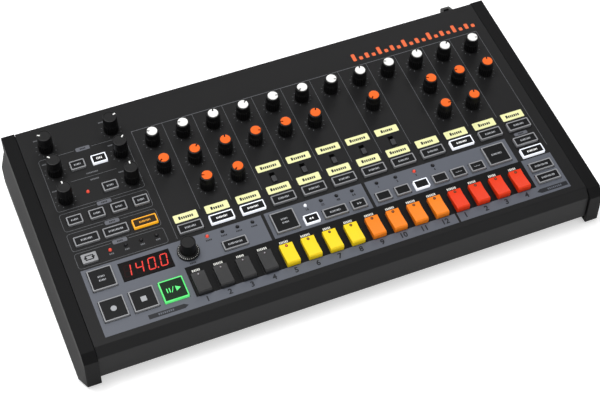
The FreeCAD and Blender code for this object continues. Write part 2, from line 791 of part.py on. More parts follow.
def stepKey():
    half = "(keyLong / 2)"
    profile = [
        ("0 - %s" % half, "0 - keySink"),
        (half, "0 - keySink"),
        (half, "keyRear"),
        ("%s - keyCreaseBack" % half, "keyCrease"),
        ("0 - %s + keyNose" % half, "keyFront"),
        ("0 - %s" % half, "keyFront - keyNoseDrop"),
    ]
    cap = prism("KeyCap", "YZ_Plane", profile, "keyWide")
    lampY = "(%s - keyLampBack)" % half
    well = post("keyLampRadius + snug", ("keyRear - keyLampDeep", "keyRear + 1"), "0", lampY)
    lamp = post("keyLampRadius", ("keyRear - keyLampDeep", "keyRear - 0.3"), "0", lampY)
    stem = centred("keyStem", "keyStem", ("0 - keyStemTail", "0 - keySink"))
    return group(trimmed(cap, well), lamp, stem)


def makeStepKeys():
    key = stepKey()
    for first, colour in ((0, "black"), (4, "yellow"), (8, "orange"), (12, "red")):
        node(onPanel(group(*copies(key, stepSpots[first:first + 4]))), "step_keys_" + colour)


def makeKeyBed():
    bed = block(("%s - keyWide / 2 - bedLap" % step(1), "%s + keyWide / 2 + bedLap" % step(16)),
                ("stepRow - keyLong / 2 - bedLap", "stepRow + keyLong / 2 + bedLap"),
                ("0 - sheetThick - bedThick", bedTop))
    hole = centred("keyStem + 2 * running", "keyStem + 2 * running", ("0 - sheetThick - bedThick - 1", "0"))
    node(onPanel(trimmed(bed, *copies(hole, stepSpots))), "key_bed")


def switchCan(wide, long, drop, stemWide, stemLong, tail):
    can = centred(wide, long, (boardTop, "0 - %s" % drop))
    well = centred("%s + 2 * running" % stemWide, "%s + 2 * running" % stemLong,
                   ("0 - %s - running" % tail, "0"))
    return trimmed(can, well)


def makeSwitchHousings():
    forKeys = switchCan("keyCan", "keyCan", "keyCanDrop", "keyStem", "keyStem", "keyStemTail - keyTravel")
    forButtons = switchCan("buttonCan", "buttonCan", "buttonCanDrop", "buttonStem", "buttonStem",
                           "buttonStemTail - pressTravel")
    forSlides = switchCan("slideCanWide", "slideCanLong", "slideCanDrop", "leverWide",
                          "leverLong + leverTravel", "leverTail")
    housings = copies(forKeys, stepSpots) + copies(forButtons, buttonSpots) + copies(forSlides, slideSpots)
    node(onPanel(group(*housings)), "switch_housings")


def makeSlideLevers():
    # At rest each lever stands at the front end of its slot
    shift = "(leverTravel / 2)"
    lever = centred("leverWide", "leverLong", ("0 - leverTail", "leverRise"), "0", "0 - %s" % shift)
    node(onPanel(group(*copies(lever, slideSpots))), "slide_levers")


# Lamps and display


def makeLamps():
    stalk = post("lampRadius", (boardTop, "lampRise"))
    lamp = joined(stalk, ball("lampRadius", "lampRise"))
    node(onPanel(group(*copies(lamp, lampSpots))), "indicator_lamps")


def makeDisplay():
    window = centred("displayWide", "displayTall", ("windowRise - windowThick", "windowRise"))
    module = centred("displayWide - 2 * moduleMargin", "displayTall - 2 * moduleMargin",
                     (boardTop, "windowRise - windowThick"))
    node(onPanel(group(*copies(window, [displaySpot]), *copies(module, [displaySpot]))), "number_display")


# Rear sockets, built where they stand

jackX = [across("(jackFirst + %d * jackPitch)" % i) for i in range(13)]
midiX = [across("(midiFirst + %d * midiPitch)" % i) for i in range(3)]
dataX = across("dataSocketX")
supplyX = across("supplyX")
switchX = across("switchX")
boardLevel = "(socketRise - jackTall / 2)"
midiZ = "(%s + midiTall / 2)" % boardLevel
dataZ = "(%s + dataSocketTall / 2)" % boardLevel
supplyZ = "(%s + supplyTall / 2)" % boardLevel
socketFace = "(%s - seamGap)" % innerY
rockerY = "(%s - pivotBack)" % rearY


def makeJacks():
    bodies = []
    for x in jackX:
        can = block(("%s - jackWide / 2" % x, "%s + jackWide / 2" % x),
                    ("%s - jackDeep" % socketFace, socketFace),
                    (boardLevel, "socketRise + jackTall / 2"))
        collar = bar("collarRadius", (socketFace, "%s + collarOut" % rearY), x, "socketRise")
        mouth = "%s + collarOut" % rearY
        bore = bar("plugRadius", ("%s - plugDeep" % mouth, "%s + 1" % mouth), x, "socketRise")
        nut = trimmed(bar("nutRadius", (rearY, "%s + nutThick" % rearY), x, "socketRise"),
                      bar("collarRadius + snug", ("%s - 1" % rearY, "%s + nutThick + 1" % rearY),
                          x, "socketRise"))
        bodies += [trimmed(joined(can, collar), bore), nut]
    node(group(*bodies), "output_jacks")


def makeMidiSockets():
    bodies = []
    for x in midiX:
        can = block(("%s - midiWide / 2" % x, "%s + midiWide / 2" % x),
                    ("%s - midiDeep" % socketFace, socketFace),
                    (boardLevel, "%s + midiTall" % boardLevel))
        collar = bar("midiRadius + midiRim", (socketFace, rearY), x, midiZ)
        bore = bar("midiRadius", ("%s - midiHole" % rearY, "%s + 1" % rearY), x, midiZ)
        bodies.append(trimmed(joined(can, collar), bore))
    node(group(*bodies), "midi_sockets")


def makePowerAndData():
    data = block(("%s - dataSocketWide / 2" % dataX, "%s + dataSocketWide / 2" % dataX),
                 ("%s - dataSocketDeep" % socketFace, socketFace),
                 (boardLevel, "%s + dataSocketTall" % boardLevel))
    dataHole = block(("%s - dataHoleWide / 2" % dataX, "%s + dataHoleWide / 2" % dataX),
                     ("%s - midiHole" % rearY, "%s + 1" % rearY),
                     ("%s - dataHoleTall / 2" % dataZ, "%s + dataHoleTall / 2" % dataZ))
    supply = block(("%s - supplyWide / 2" % supplyX, "%s + supplyWide / 2" % supplyX),
                   ("%s - supplyDeep" % socketFace, socketFace), (boardLevel, "%s + supplyTall" % boardLevel))
    supplyHole = bar("supplyRadius", ("%s - midiHole" % rearY, "%s + 1" % rearY), supplyX, supplyZ)
    rim = block(("%s - switchWide / 2" % switchX, "%s + switchWide / 2" % switchX),
                (rearY, "%s + switchOut" % rearY),
                ("socketRise - switchTall / 2", "socketRise + switchTall / 2"))
    case = block(("%s - switchWide / 2 + 1 + seamGap" % switchX,
                  "%s + switchWide / 2 - 1 - seamGap" % switchX),
                 ("%s - switchDeep" % rearY, rearY),
                 ("socketRise - switchTall / 2 + 1 + seamGap", "socketRise + switchTall / 2 - 1 - seamGap"))
    hollow = block(("%s - switchHoleWide / 2" % switchX, "%s + switchHoleWide / 2" % switchX),
                   ("%s - switchDeep + 2" % rearY, "%s + switchOut + 1" % rearY),
                   ("socketRise - switchHoleTall / 2", "socketRise + switchHoleTall / 2"))
    reach = "(switchHoleWide / 2 + pivotReach + running / 2)"
    bearing = pin("pivotRadius + pivotSlack", ("%s - %s" % (switchX, reach), "%s + %s" % (switchX, reach)),
                  rockerY, "socketRise")
    frame = trimmed(joined(rim, case), hollow, bearing)
    node(group(trimmed(data, dataHole), trimmed(supply, supplyHole), frame), "power_and_data_sockets")


def makeRocker():
    # It turns on a round pin; its two lips stand out towards the rear, and the waist between them is lower
    profile = [
        ("0 - rockerBack", "0 - rockerHalf + 0.3"),
        ("rockerReach", "0 - rockerHalf"),
        ("rockerWaist", "0"),
        ("rockerReach", "rockerHalf"),
        ("0 - rockerBack", "rockerHalf - 0.3"),
    ]
    rocker = prism("Rocker", "YZ_Plane", profile, "switchHoleWide - 2 * running")
    reach = "(switchHoleWide / 2 + pivotReach)"
    pivot = pin("pivotRadius", ("0 - " + reach, reach))
    turn = ("1; 0; 0", "rockerTilt")
    node(put(joined(rocker, pivot), switchX, rockerY, "socketRise", turn), "power_rocker")


def makeHook():
    height = "(%s - hookDrop)" % rearZ
    far = "(%s + hookReach)" % rearY
    middle = across("hookX")
    plate = block(("%s - hookPlateWide / 2" % middle, "%s + hookPlateWide / 2" % middle),
                  (rearY, "%s + hookPlateThick" % rearY),
                  ("%s - hookPlateTall / 2" % height, "%s + hookPlateTall / 2" % height))
    base = "%s + hookPlateThick" % rearY
    ring = [
        ("%s - hookWide / 2" % middle, base),
        ("%s + hookWide / 2" % middle, base),
        ("%s + hookTip / 2" % middle, far),
        ("%s - hookTip / 2" % middle, far),
    ]
    gap = [
        ("%s - hookWide / 2 + hookBar" % middle, "%s - 1" % base),
        ("%s + hookWide / 2 - hookBar" % middle, "%s - 1" % base),
        ("%s + hookTip / 2 - hookBar * 0.7" % middle, "%s - hookBar" % far),
        ("%s - hookTip / 2 + hookBar * 0.7" % middle, "%s - hookBar" % far),
    ]
    low = "%s - hookThick / 2" % height
    loop = prism("HookLoop", "XY_Plane", ring, "hookThick", middle=False, offset=low)
    opening = prism("HookGap", "XY_Plane", gap, "hookThick + 2", middle=False, offset="%s - 1" % low)
    node(joined(plate, trimmed(loop, opening)), "cable_hook")


def makeScrews():
    # Heads under the tray, behind the rear panel and inside the tray's end walls
    screws = []
    for x, y in postSpots:
        screws.append(joined(post("screwHead", ("trayRise - screwHeadTall", "trayRise"), x, y),
                             post("screwShank", ("trayRise", "trayRise + sheetThick + screwLong - 1"), x, y)))
    for x in rearScrewX:
        screws.append(joined(bar("screwHead", (rearY, "%s + screwHeadTall" % rearY), x, rearScrewZ),
                             bar("screwShank", ("%s - screwLong" % rearY, rearY), x, rearScrewZ)))
    wall = "(%s - sheetThick)" % halfBody
    tip = "(%s + screwLong - 0.5)" % cheekInner
    for y in cheekScrewY:
        screws.append(joined(pin("screwHead", ("%s - screwHeadTall" % wall, wall), y, "bossRise"),
                             pin("screwShank", (wall, tip), y, "bossRise")))
        screws.append(joined(pin("screwHead", ("0 - %s" % wall, "0 - %s + screwHeadTall" % wall), y, "bossRise"),
                             pin("screwShank", ("0 - %s" % tip, "0 - %s" % wall), y, "bossRise")))
    node(group(*screws), "case_screws")


makeTopPanel()
makeTray()
makeRearPanel()
makeCheek(-1, "left_end_cheek")
makeCheek(1, "right_end_cheek")
makeFeet()
makeControlBoard()
makeJackBoard()
makeKnobs()
makePotentiometers()
makeButtons()
makeStepKeys()
makeKeyBed()
makeSwitchHousings()
makeSlideLevers()
makeLamps()
makeDisplay()
makeJacks()
makeMidiSockets()
makePowerAndData()
makeRocker()
makeHook()
makeScrews()
doc.recompute()

# Nothing is written unless every object and every sub-part is sound
for item in doc.Objects:
    if "Invalid" in item.State or "Error" in item.State:
        raise RuntimeError("failed object: %s (%s)" % (item.Label, item.State))
for item in nodes:
    if item.Shape.isNull() or not item.Shape.isValid():
        raise RuntimeError("bad shape: %s" % item.Label)

os.makedirs("parts", exist_ok=True)
for item in nodes:
    item.Shape.exportStep("parts/%s.step" % item.Label)
    print("%-24s solids %3d  volume %9.1f mm3" % (item.Label, len(item.Shape.Solids), item.Shape.Volume))
print("sub-parts:", len(nodes))
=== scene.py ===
import bpy
import bmesh
import json
import math
import random
from mathutils import Matrix, Vector

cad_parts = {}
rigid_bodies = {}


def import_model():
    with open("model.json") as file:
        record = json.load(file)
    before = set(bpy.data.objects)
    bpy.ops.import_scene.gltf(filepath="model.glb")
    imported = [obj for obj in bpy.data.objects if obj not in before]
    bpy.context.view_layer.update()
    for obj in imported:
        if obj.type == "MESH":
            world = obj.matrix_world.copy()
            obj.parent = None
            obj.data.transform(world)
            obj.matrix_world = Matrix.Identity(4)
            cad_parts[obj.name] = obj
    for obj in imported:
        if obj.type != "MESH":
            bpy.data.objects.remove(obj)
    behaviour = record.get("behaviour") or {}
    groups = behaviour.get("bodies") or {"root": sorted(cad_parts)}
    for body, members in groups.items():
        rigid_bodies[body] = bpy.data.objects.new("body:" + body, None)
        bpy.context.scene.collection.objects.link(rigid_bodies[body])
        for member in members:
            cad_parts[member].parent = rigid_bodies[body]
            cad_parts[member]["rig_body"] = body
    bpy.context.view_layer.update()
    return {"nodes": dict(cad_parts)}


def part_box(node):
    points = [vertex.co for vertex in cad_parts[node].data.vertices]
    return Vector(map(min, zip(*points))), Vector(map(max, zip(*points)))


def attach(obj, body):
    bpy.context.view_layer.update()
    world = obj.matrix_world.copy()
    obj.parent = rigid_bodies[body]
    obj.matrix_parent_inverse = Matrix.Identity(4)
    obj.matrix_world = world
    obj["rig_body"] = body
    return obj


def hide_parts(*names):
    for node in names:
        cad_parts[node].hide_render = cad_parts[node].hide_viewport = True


# A desktop drum machine, dressed over its CAD frame.
# Shapes are made in millimetres and set into the frame, which is in metres.

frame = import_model()
dice = random.Random(16)
print("frame loaded:", len(frame["nodes"]), "nodes")

case = {"tilt": 4.5, "bevelRun": 7.0, "foldZ": 42.5}
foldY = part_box("top_panel")[0].y * 1000 + case["bevelRun"]
slope = (Matrix.Translation((0, foldY / 1000, case["foldZ"] / 1000))
         @ Matrix.Rotation(math.radians(case["tilt"]), 4, "X"))
toMetres = Matrix.Scale(0.001, 4)


def onPanel(x, v, w=0.0, turn=0.0):
    # x across, v up the slope and w out of it; turn is anticlockwise from above
    return (slope @ Matrix.Translation((x / 1000, v / 1000, w / 1000))
            @ Matrix.Rotation(math.radians(turn), 4, "Z") @ toMetres)


def inCase(x, y, z):
    return Matrix.Translation((x / 1000, y / 1000, z / 1000)) @ toMetres


# Materials: each is named for what the real surface is made of


def linear(text):
    values = [int(text[i:i + 2], 16) / 255 for i in (1, 3, 5)]
    return tuple(v / 12.92 if v <= 0.04045 else ((v + 0.055) / 1.055) ** 2.4 for v in values) + (1.0,)


def addNode(material, kind, inputs=None, **settings):
    node = material.node_tree.nodes.new(kind)
    for key, value in settings.items():
        setattr(node, key, value)
    for key, value in (inputs or {}).items():
        if isinstance(value, bpy.types.NodeSocket):
            material.node_tree.links.new(value, node.inputs[key])
        else:
            node.inputs[key].default_value = value
    return node


def blank(name):
    material = bpy.data.materials.new(name)
    material.use_nodes = True
    material.node_tree.nodes.clear()
    return material


def finish(material, shader):
    addNode(material, "ShaderNodeOutputMaterial", {"Surface": shader.outputs[0]})
    return material


def moulded(name, colour, rough=0.45, grain=0.35, depth=0.012, shade=0.06, specular=0.5, **sockets):
    # A surface with a fine grain, its size in mm, and faint shading over a few centimetres
    material = blank(name)
    place = addNode(material, "ShaderNodeTexCoord").outputs["Object"]
    cloud = addNode(material, "ShaderNodeTexNoise", {"Vector": place, "Scale": 1000 / 24, "Detail": 3.0})
    dark = tuple(c * (1 - shade) for c in linear(colour)[:3]) + (1.0,)
    light = tuple(min(1, c * (1 + shade)) for c in linear(colour)[:3]) + (1.0,)
    tone = addNode(material, "ShaderNodeMix", {"Factor": cloud.outputs["Fac"], "A": dark, "B": light},
                   data_type="RGBA")
    speck = addNode(material, "ShaderNodeTexNoise", {"Vector": place, "Scale": 1000 / grain, "Detail": 2.0})
    bump = addNode(material, "ShaderNodeBump", {"Height": speck.outputs["Fac"], "Strength": 0.5,
                                                "Distance": depth / 1000})
    spread = addNode(material, "ShaderNodeMapRange", {"Value": speck.outputs["Fac"], "To Min": rough - 0.05,
                                                      "To Max": rough + 0.05})
    values = {"Base Color": tone.outputs["Result"], "Roughness": spread.outputs["Result"],
              "Normal": bump.outputs["Normal"], "IOR": 1.5, "Specular IOR Level": specular}
    values.update(sockets)
    return finish(material, addNode(material, "ShaderNodeBsdfPrincipled", values))


def glowing(name, colour, strength, glow, core=None):
    # Tinted plastic with a lamp behind it, a little brighter in the middle of each few millimetres
    material = blank(name)
    place = addNode(material, "ShaderNodeTexCoord").outputs["Object"]
    cloud = addNode(material, "ShaderNodeTexNoise", {"Vector": place, "Scale": 1000 / 5, "Detail": 1.0})
    light = addNode(material, "ShaderNodeMix", {"Factor": cloud.outputs["Fac"], "A": linear(glow),
                                                "B": linear(core or glow)}, data_type="RGBA")
    return finish(material, addNode(material, "ShaderNodeBsdfPrincipled", {
        "Base Color": linear(colour), "Roughness": 0.35, "Emission Color": light.outputs["Result"],
        "Emission Strength": strength}))


# Epoxy powder coat on the folded steel top: a fine leather-like grain that breaks up reflections
panelPaint = moulded("powder_coat_charcoal", "#151516", rough=0.5, grain=0.5, depth=0.02, specular=0.18)
# The same coat, a little shinier, on the tray and rear panel
trayPaint = moulded("powder_coat_black", "#161617", rough=0.5, grain=0.5, depth=0.02, specular=0.3)
# Screen-printing inks: matt, they lie flat on the coat
inkGrey = moulded("screen_ink_slate", "#535761", rough=0.5, grain=0.6, depth=0.006, shade=0.03)
inkLine = moulded("screen_ink_line_grey", "#606266", rough=0.55, grain=0.6, depth=0.004, shade=0.03)
inkPill = moulded("screen_ink_pill_grey", "#585a62", rough=0.5, grain=0.6, depth=0.004, shade=0.03)
inkCream = moulded("screen_ink_cream", "#eeeeb0", rough=0.5, grain=0.6, depth=0.006, shade=0.02)
inkDark = moulded("screen_ink_navy", "#15171d", rough=0.5, grain=0.6, depth=0.004, specular=0.3)
inkBlack = moulded("screen_ink_black", "#0c0c0d", rough=0.5, grain=0.6, depth=0.004, specular=0.12)
inkWhite = moulded("screen_ink_white", "#dcdcd6", rough=0.5, grain=0.6, depth=0.004, shade=0.02)
inkOrange = moulded("screen_ink_orange", "#e8642a", rough=0.5, grain=0.6, depth=0.004, shade=0.03)
# ABS mouldings: cheeks have a coarse spark-eroded grain, caps and keys a satin one
cheekPlastic = moulded("abs_black_grained", "#0e0e0f", rough=0.55, grain=0.7, depth=0.03, specular=0.1)
knobPlastic = moulded("soft_touch_black", "#0d0d0e", rough=0.45, grain=0.3, depth=0.008, specular=0.25)
capWhite = moulded("abs_white_satin", "#f2f2f0", rough=0.4, shade=0.02)
capOrange = moulded("abs_orange_satin", "#f4660e", rough=0.42, shade=0.03, specular=0.3)
keyBlack = moulded("abs_key_black", "#272728", rough=0.42, shade=0.04, specular=0.4)
keyYellow = moulded("abs_key_yellow", "#fbd80e", rough=0.4, shade=0.03, specular=0.35)
keyOrange = moulded("abs_key_orange", "#f58210", rough=0.4, shade=0.03, specular=0.3)
keyRed = moulded("abs_key_red", "#e6370a", rough=0.4, shade=0.03, specular=0.25)
# Polycarbonate button frames: milky grey, so that light from inside spreads; plates are black film under it
frameGrey = moulded("polycarbonate_milky_grey", "#8e8f92", rough=0.4, grain=0.4, depth=0.004, shade=0.03)
plateDark = moulded("legend_film_black", "#0b0c0e", rough=0.45, grain=0.4, depth=0.004, specular=0.15)
plateLegend = moulded("legend_window_grey", "#a2a4a8", rough=0.5, grain=0.4, depth=0.002, shade=0.02)
leverGrey = moulded("nylon_dark_grey", "#2f2f32", rough=0.5)
# Lit plastics
glowWhite = glowing("polycarbonate_lit_white", "#b4b8be", 0.75, glow="#e6ecff", core="#ffffff")
glowAmber = glowing("polycarbonate_lit_amber", "#b8780c", 0.7, glow="#ffa808", core="#ffc028")
glowGreen = glowing("polycarbonate_lit_green", "#1f9440", 0.8, glow="#2ee05c", core="#86ff9c")
glowRed = glowing("diffused_led_red", "#a02018", 0.6, glow="#ff4a34", core="#ff7058")
legendWhite = glowing("legend_lit_white", "#c8c8c8", 0.5, glow="#ffffff")
legendAmber = glowing("legend_lit_amber", "#a06808", 0.6, glow="#ffb21c")
legendGreen = glowing("legend_lit_green", "#2a9c48", 0.8, glow="#62ff84")
# Black legend film of the lit green and amber buttons: its tint is painted glow from the lamp behind it, a lit
# copy of the plain black film that emits no light
filmGreenGlowPainted = moulded("legend_film_black_painted_green_glow", "#0c2413", rough=0.45, specular=0.15)
filmAmberGlowPainted = moulded("legend_film_black_painted_amber_glow", "#33230a", rough=0.45, specular=0.15)
lampClear = moulded("epoxy_dome_smoke", "#232326", rough=0.32, grain=0.8, depth=0.002, shade=0.08,
                    specular=0.3)
lampSmoke = moulded("key_lamp_clear", "#8c8c94", rough=0.3, specular=0.4)
lampDark = moulded("key_lamp_ring_smoke", "#2a1408", rough=0.35, specular=0.3)
lampAmber = moulded("key_lamp_amber_smoke", "#8a4410", rough=0.3)
windowFilm = moulded("acrylic_window_smoke", "#060202", rough=0.35, grain=0.8, depth=0.002, specular=0.12)
digitOff = moulded("display_segment_idle", "#200607", rough=0.4, specular=0.1)
digitLit = glowing("display_segment_lit", "#7a0c08", 0.85, glow="#f0180e", core="#ff3c20")
# Sockets, switch, feet, boards and fittings
socketBlack = moulded("nylon_black", "#191919", rough=0.48)
rockerBlack = moulded("abs_black_polished", "#0f0f10", rough=0.25, grain=0.8, depth=0.002)
rubberBlack = moulded("neoprene_black", "#171717", rough=0.75, grain=0.9, depth=0.04)
boardGreen = moulded("solder_mask_green", "#123f22", rough=0.35, grain=0.5, depth=0.01)
screwBlack = moulded("black_oxide_steel", "#1d1d1e", rough=0.35, grain=0.3, depth=0.01, Metallic=1.0)
nickel = moulded("nickel_plate", "#c9c7c2", rough=0.24, grain=0.3, depth=0.004, shade=0.03, Metallic=1.0)
print("materials made")

# Inks lie in thin coats, in mm; each coat stands a little above the one below it
inkThick = 0.03
firstCoat = 0.02
secondCoat = 0.06
thirdCoat = 0.1


def soften(bm, edges, width, steps=2):
    bmesh.ops.bevel(bm, geom=edges, offset=width, segments=steps, profile=0.5, affect="EDGES", material=-1)


def slab(wide, long, tall, corner=0.0, edge=0.0, steps=3):
    # A block standing on z 0, with rounded upright corners and a softened upper rim
    bm = bmesh.new()
    shape = Matrix.Translation((0, 0, tall / 2)) @ Matrix.Diagonal((wide, long, tall, 1))
    bmesh.ops.create_cube(bm, size=1.0, matrix=shape)
    if corner:
        upright = [e for e in bm.edges if abs(e.verts[0].co.z - e.verts[1].co.z) > tall * 0.9]
        soften(bm, upright, corner, steps)
    if edge:
        soften(bm, [e for e in bm.edges if min(v.co.z for v in e.verts) > tall * 0.999], edge)
    return bm


def turned(profile, steps=48):
    # Spins a side view of (radius, height) points about the upright axis
    bm = bmesh.new()
    points = [bm.verts.new((radius, 0, height)) for radius, height in profile]
    lines = [bm.edges.new(pair) for pair in zip(points, points[1:])]
    bmesh.ops.spin(bm, geom=points + lines, cent=(0, 0, 0), axis=(0, 0, 1), angle=2 * math.pi, steps=steps,
                   use_merge=True)
    bmesh.ops.remove_doubles(bm, verts=bm.verts, dist=1e-4)
    bmesh.ops.recalc_face_normals(bm, faces=bm.faces)
    return bm


def disc(radius, corners):
    # A thin round or cornered plate, centred on the origin
    bm = bmesh.new()
    bmesh.ops.create_cone(bm, cap_ends=True, segments=corners, radius1=radius, radius2=radius, depth=inkThick)
    return bm


def around(vert, steps):
    # The step of a spin on which a vertex stands
    return round(math.atan2(vert.co.y, vert.co.x) / (2 * math.pi / steps))


def pullIn(vert, depth):
    # Moves a vertex towards the upright axis
    radius = math.hypot(vert.co.x, vert.co.y)
    vert.co.x *= (radius - depth) / radius
    vert.co.y *= (radius - depth) / radius


def everything(bm):
    return bm.verts[:] + bm.edges[:] + bm.faces[:]


def drawOut(bm, vector):
    # Gives flat faces a thickness, with all faces outwards
    drawn = bmesh.ops.extrude_face_region(bm, geom=bm.faces[:])["geom"]
    bmesh.ops.translate(bm, vec=vector, verts=[g for g in drawn if isinstance(g, bmesh.types.BMVert)])
    bmesh.ops.recalc_face_normals(bm, faces=bm.faces)


def topFace(bm):
    return max(bm.faces, key=lambda f: (round(f.calc_center_median().z, 4), f.calc_area()))


def paint(bm, number):
    for face in bm.faces:
        face.material_index = number
    return bm


def pour(bm, part, matrix=None):
    # Moves one finished shape into another mesh
    mesh = bpy.data.meshes.new("pour")
    part.to_mesh(mesh)
    part.free()
    stamp(bm, mesh, matrix or Matrix.Identity(4))
    bpy.data.meshes.remove(mesh)


def kept(bm, name):
    mesh = bpy.data.meshes.new(name)
    bm.to_mesh(mesh)
    bm.free()
    return mesh


def stamp(bm, mesh, matrix, swap=None):
    # Adds a copy of a template at its place; swap gives it other material numbers
    copy = mesh.copy()
    copy.transform(matrix)
    if swap:
        for polygon in copy.polygons:
            polygon.material_index = swap.get(polygon.material_index, polygon.material_index)
    bm.from_mesh(copy)
    bpy.data.meshes.remove(copy)


def piece(bm, name, materials, body, nodes=(), crease=35):
    mesh = kept(bm, name)
    for material in materials:
        mesh.materials.append(material)
    mesh.polygons.foreach_set("use_smooth", [True] * len(mesh.polygons))
    mesh.set_sharp_from_angle(angle=math.radians(crease))
    item = bpy.data.objects.new(name, mesh)
    bpy.context.scene.collection.objects.link(item)
    # large faces stay flat beside their rounded edges
    even = item.modifiers.new("even_shading", "WEIGHTED_NORMAL")
    even.keep_sharp = True
    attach(item, body)
    if nodes:
        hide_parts(*nodes)
    return item


def softened(name, node, width, material, body):
    # A copy of a CAD piece with its edges rounded; width in mm
    bm = bmesh.new()
    bm.from_mesh(frame["nodes"][node].data)
    bmesh.ops.remove_doubles(bm, verts=bm.verts, dist=2e-6)
    bmesh.ops.dissolve_limit(bm, angle_limit=math.radians(0.5), verts=bm.verts, edges=bm.edges)
    sharp = [e for e in bm.edges if len(e.link_faces) == 2 and e.calc_face_angle(0) > math.radians(30)]
    bmesh.ops.bevel(bm, geom=sharp, offset=width / 1000, segments=3, profile=0.5, affect="EDGES",
                    clamp_overlap=True, material=-1)
    return piece(bm, name, [material], body, (node,))


def lettering(text, tall):
    # Plain numerals, ON or OFF as a thin raised print, centred on the origin
    curve = bpy.data.curves.new("numeral", "FONT")
    curve.body = text
    curve.size = tall
    curve.align_x = "CENTER"
    curve.align_y = "CENTER"
    curve.extrude = inkThick / 2
    curve.resolution_u = 3
    curve.offset = tall * 0.03
    item = bpy.data.objects.new("numeral", curve)
    bpy.context.scene.collection.objects.link(item)
    mesh = bpy.data.meshes.new_from_object(item.evaluated_get(bpy.context.evaluated_depsgraph_get()))
    bpy.data.objects.remove(item)
    return mesh


def printBar(bm, x, v, wide, long, number, lift=firstCoat, corner=0.0, turn=0.0):
    pour(bm, paint(slab(wide, long, inkThick, corner), number), onPanel(x, v, lift, turn))


def printRow(bm, x, v, marks, tall, gap, number, lift=firstCoat):
    # A centred row of small upright blocks; marks are their widths
    total = sum(marks) + gap * (len(marks) - 1)
    place = x - total / 2
    for wide in marks:
        printBar(bm, place + wide / 2, v, wide, tall, number, lift)
        place += wide + gap


# Places on the panel, in mm; each entry of rows is a first place and a pitch across the panel

grid = {"columnFirst": -116.45, "columnPitch": 29.3, "levelRow": 186.6, "toneRow": 154.6, "decayRow": 122.7,
        "slideRow": 110.2, "selectRow": 85.3, "stepFirst": -127.3, "stepPitch": 20.28, "stepRow": 26.9,
        "padRow": 61.7, "lowPadRow": 29.5, "menuRow": 55.5, "lampRow": 71.4, "sideLampRow": 88.0,
        "dialX": -126.8, "sideX": -178.3, "endX": 203.8}
rows = {"pad": (-204.8, 26.6), "track": (-106.0, 14.1), "count": (-13.6, 15.05), "menu": (55.7, 18.6),
        "side": (-189.1, 14.1)}


def column(i):
    return grid["columnFirst"] + (i - 1) * grid["columnPitch"]


def step(i):
    return grid["stepFirst"] + (i - 1) * grid["stepPitch"]


def along(row, i):
    first, pitch = rows[row]
    return first + pitch * i


knobLook = {"lift": 0.8, "foot": 6.7, "neck": 6.35, "head": 6.1, "tall": 16.0, "ribTop": 9.8, "ribs": 18,
            "groove": 0.55, "capRadius": 4.75, "capSeat": 1.0, "capRise": 0.5, "notchWide": 1.3,
            "notchStart": 2.2}
blackLook = {"foot": 6.9, "neck": 6.6, "head": 6.4, "tall": 19.5, "rim": 1.0, "dish": 0.4,
             "tickWide": 1.2, "tickLong": 2.6}
dataLook = {"grip": 6.6, "steps": 72, "groove": 0.18, "dots": 30, "dotWide": 0.55, "dotRing": 8.9,
            "dotUp": 2.28, "skirtLean": 13}
# Pointer angles from straight up, clockwise in degrees
levelTurns = (-69, -69, 14, 45, 101, -121, 120, 12, -60, 19, 48, 111)
toneTurns = {1: -122, 2: 45, 3: 9, 4: 111, 5: -79, 6: 23, 8: -133, 10: -69, 11: -79, 12: 15}
decayTurns = {2: -69, 3: -134, 10: 101, 11: 14}
blackTurns = ((-209.1, 213.3, -69), (-209.1, 184.8, -42), (-209.1, 153.0, -2),
              (-147.5, 213.3, 71), (-147.5, 184.8, 47), (-147.5, 153.0, 6))


def ribbedBody(foot, neck, head, tall, crown):
    k = knobLook
    steps = k["ribs"] * 4
    profile = [(0, k["lift"]), (foot - 0.3, k["lift"]), (foot, k["lift"] + 0.3), (foot, k["ribTop"] - 0.25),
               (foot - 0.2, k["ribTop"]), (neck, k["ribTop"] + 0.02), (head, tall - 0.35),
               (head - 0.1, tall - 0.1), (head - 0.35, tall)] + crown
    bm = turned(profile, steps)
    for vert in bm.verts:
        onRib = math.hypot(vert.co.x, vert.co.y) > foot - 0.25 and vert.co.z < k["ribTop"] - 0.1
        if onRib and around(vert, steps) % 4 == 2:
            pullIn(vert, k["groove"])
    return bm


def notchedCap():
    # A disc with a slot from its rim inwards, cut by three planes and drawn up
    k = knobLook
    bm = bmesh.new()
    bmesh.ops.create_circle(bm, cap_ends=True, radius=k["capRadius"], segments=56)
    half = k["notchWide"] / 2
    cuts = (((half, 0, 0), (1, 0, 0)), ((-half, 0, 0), (1, 0, 0)), ((0, k["notchStart"], 0), (0, 1, 0)))
    for spot, normal in cuts:
        bmesh.ops.bisect_plane(bm, geom=everything(bm), plane_co=spot, plane_no=normal)
    middles = [(f, f.calc_center_median()) for f in bm.faces]
    slot = [f for f, middle in middles if abs(middle.x) < half and middle.y > k["notchStart"]]
    bmesh.ops.delete(bm, geom=slot, context="FACES")
    bmesh.ops.dissolve_faces(bm, faces=bm.faces[:])
    drawOut(bm, (0, 0, k["capSeat"] + k["capRise"] - 0.1))
    soften(bm, [e for e in bm.edges if min(v.co.z for v in e.verts) > 1.0], 0.22)
    return bm


def voiceKnob():
    k = knobLook
    floor = k["tall"] - k["capSeat"]
    crown = [(k["capRadius"] + 0.25, k["tall"]), (k["capRadius"] + 0.1, k["tall"] - 0.15),
             (k["capRadius"] + 0.1, floor), (0, floor)]
    bm = ribbedBody(k["foot"], k["neck"], k["head"], k["tall"], crown)
    pour(bm, paint(notchedCap(), 1), Matrix.Translation((0, 0, floor + 0.05)))
    return kept(bm, "voiceKnob")


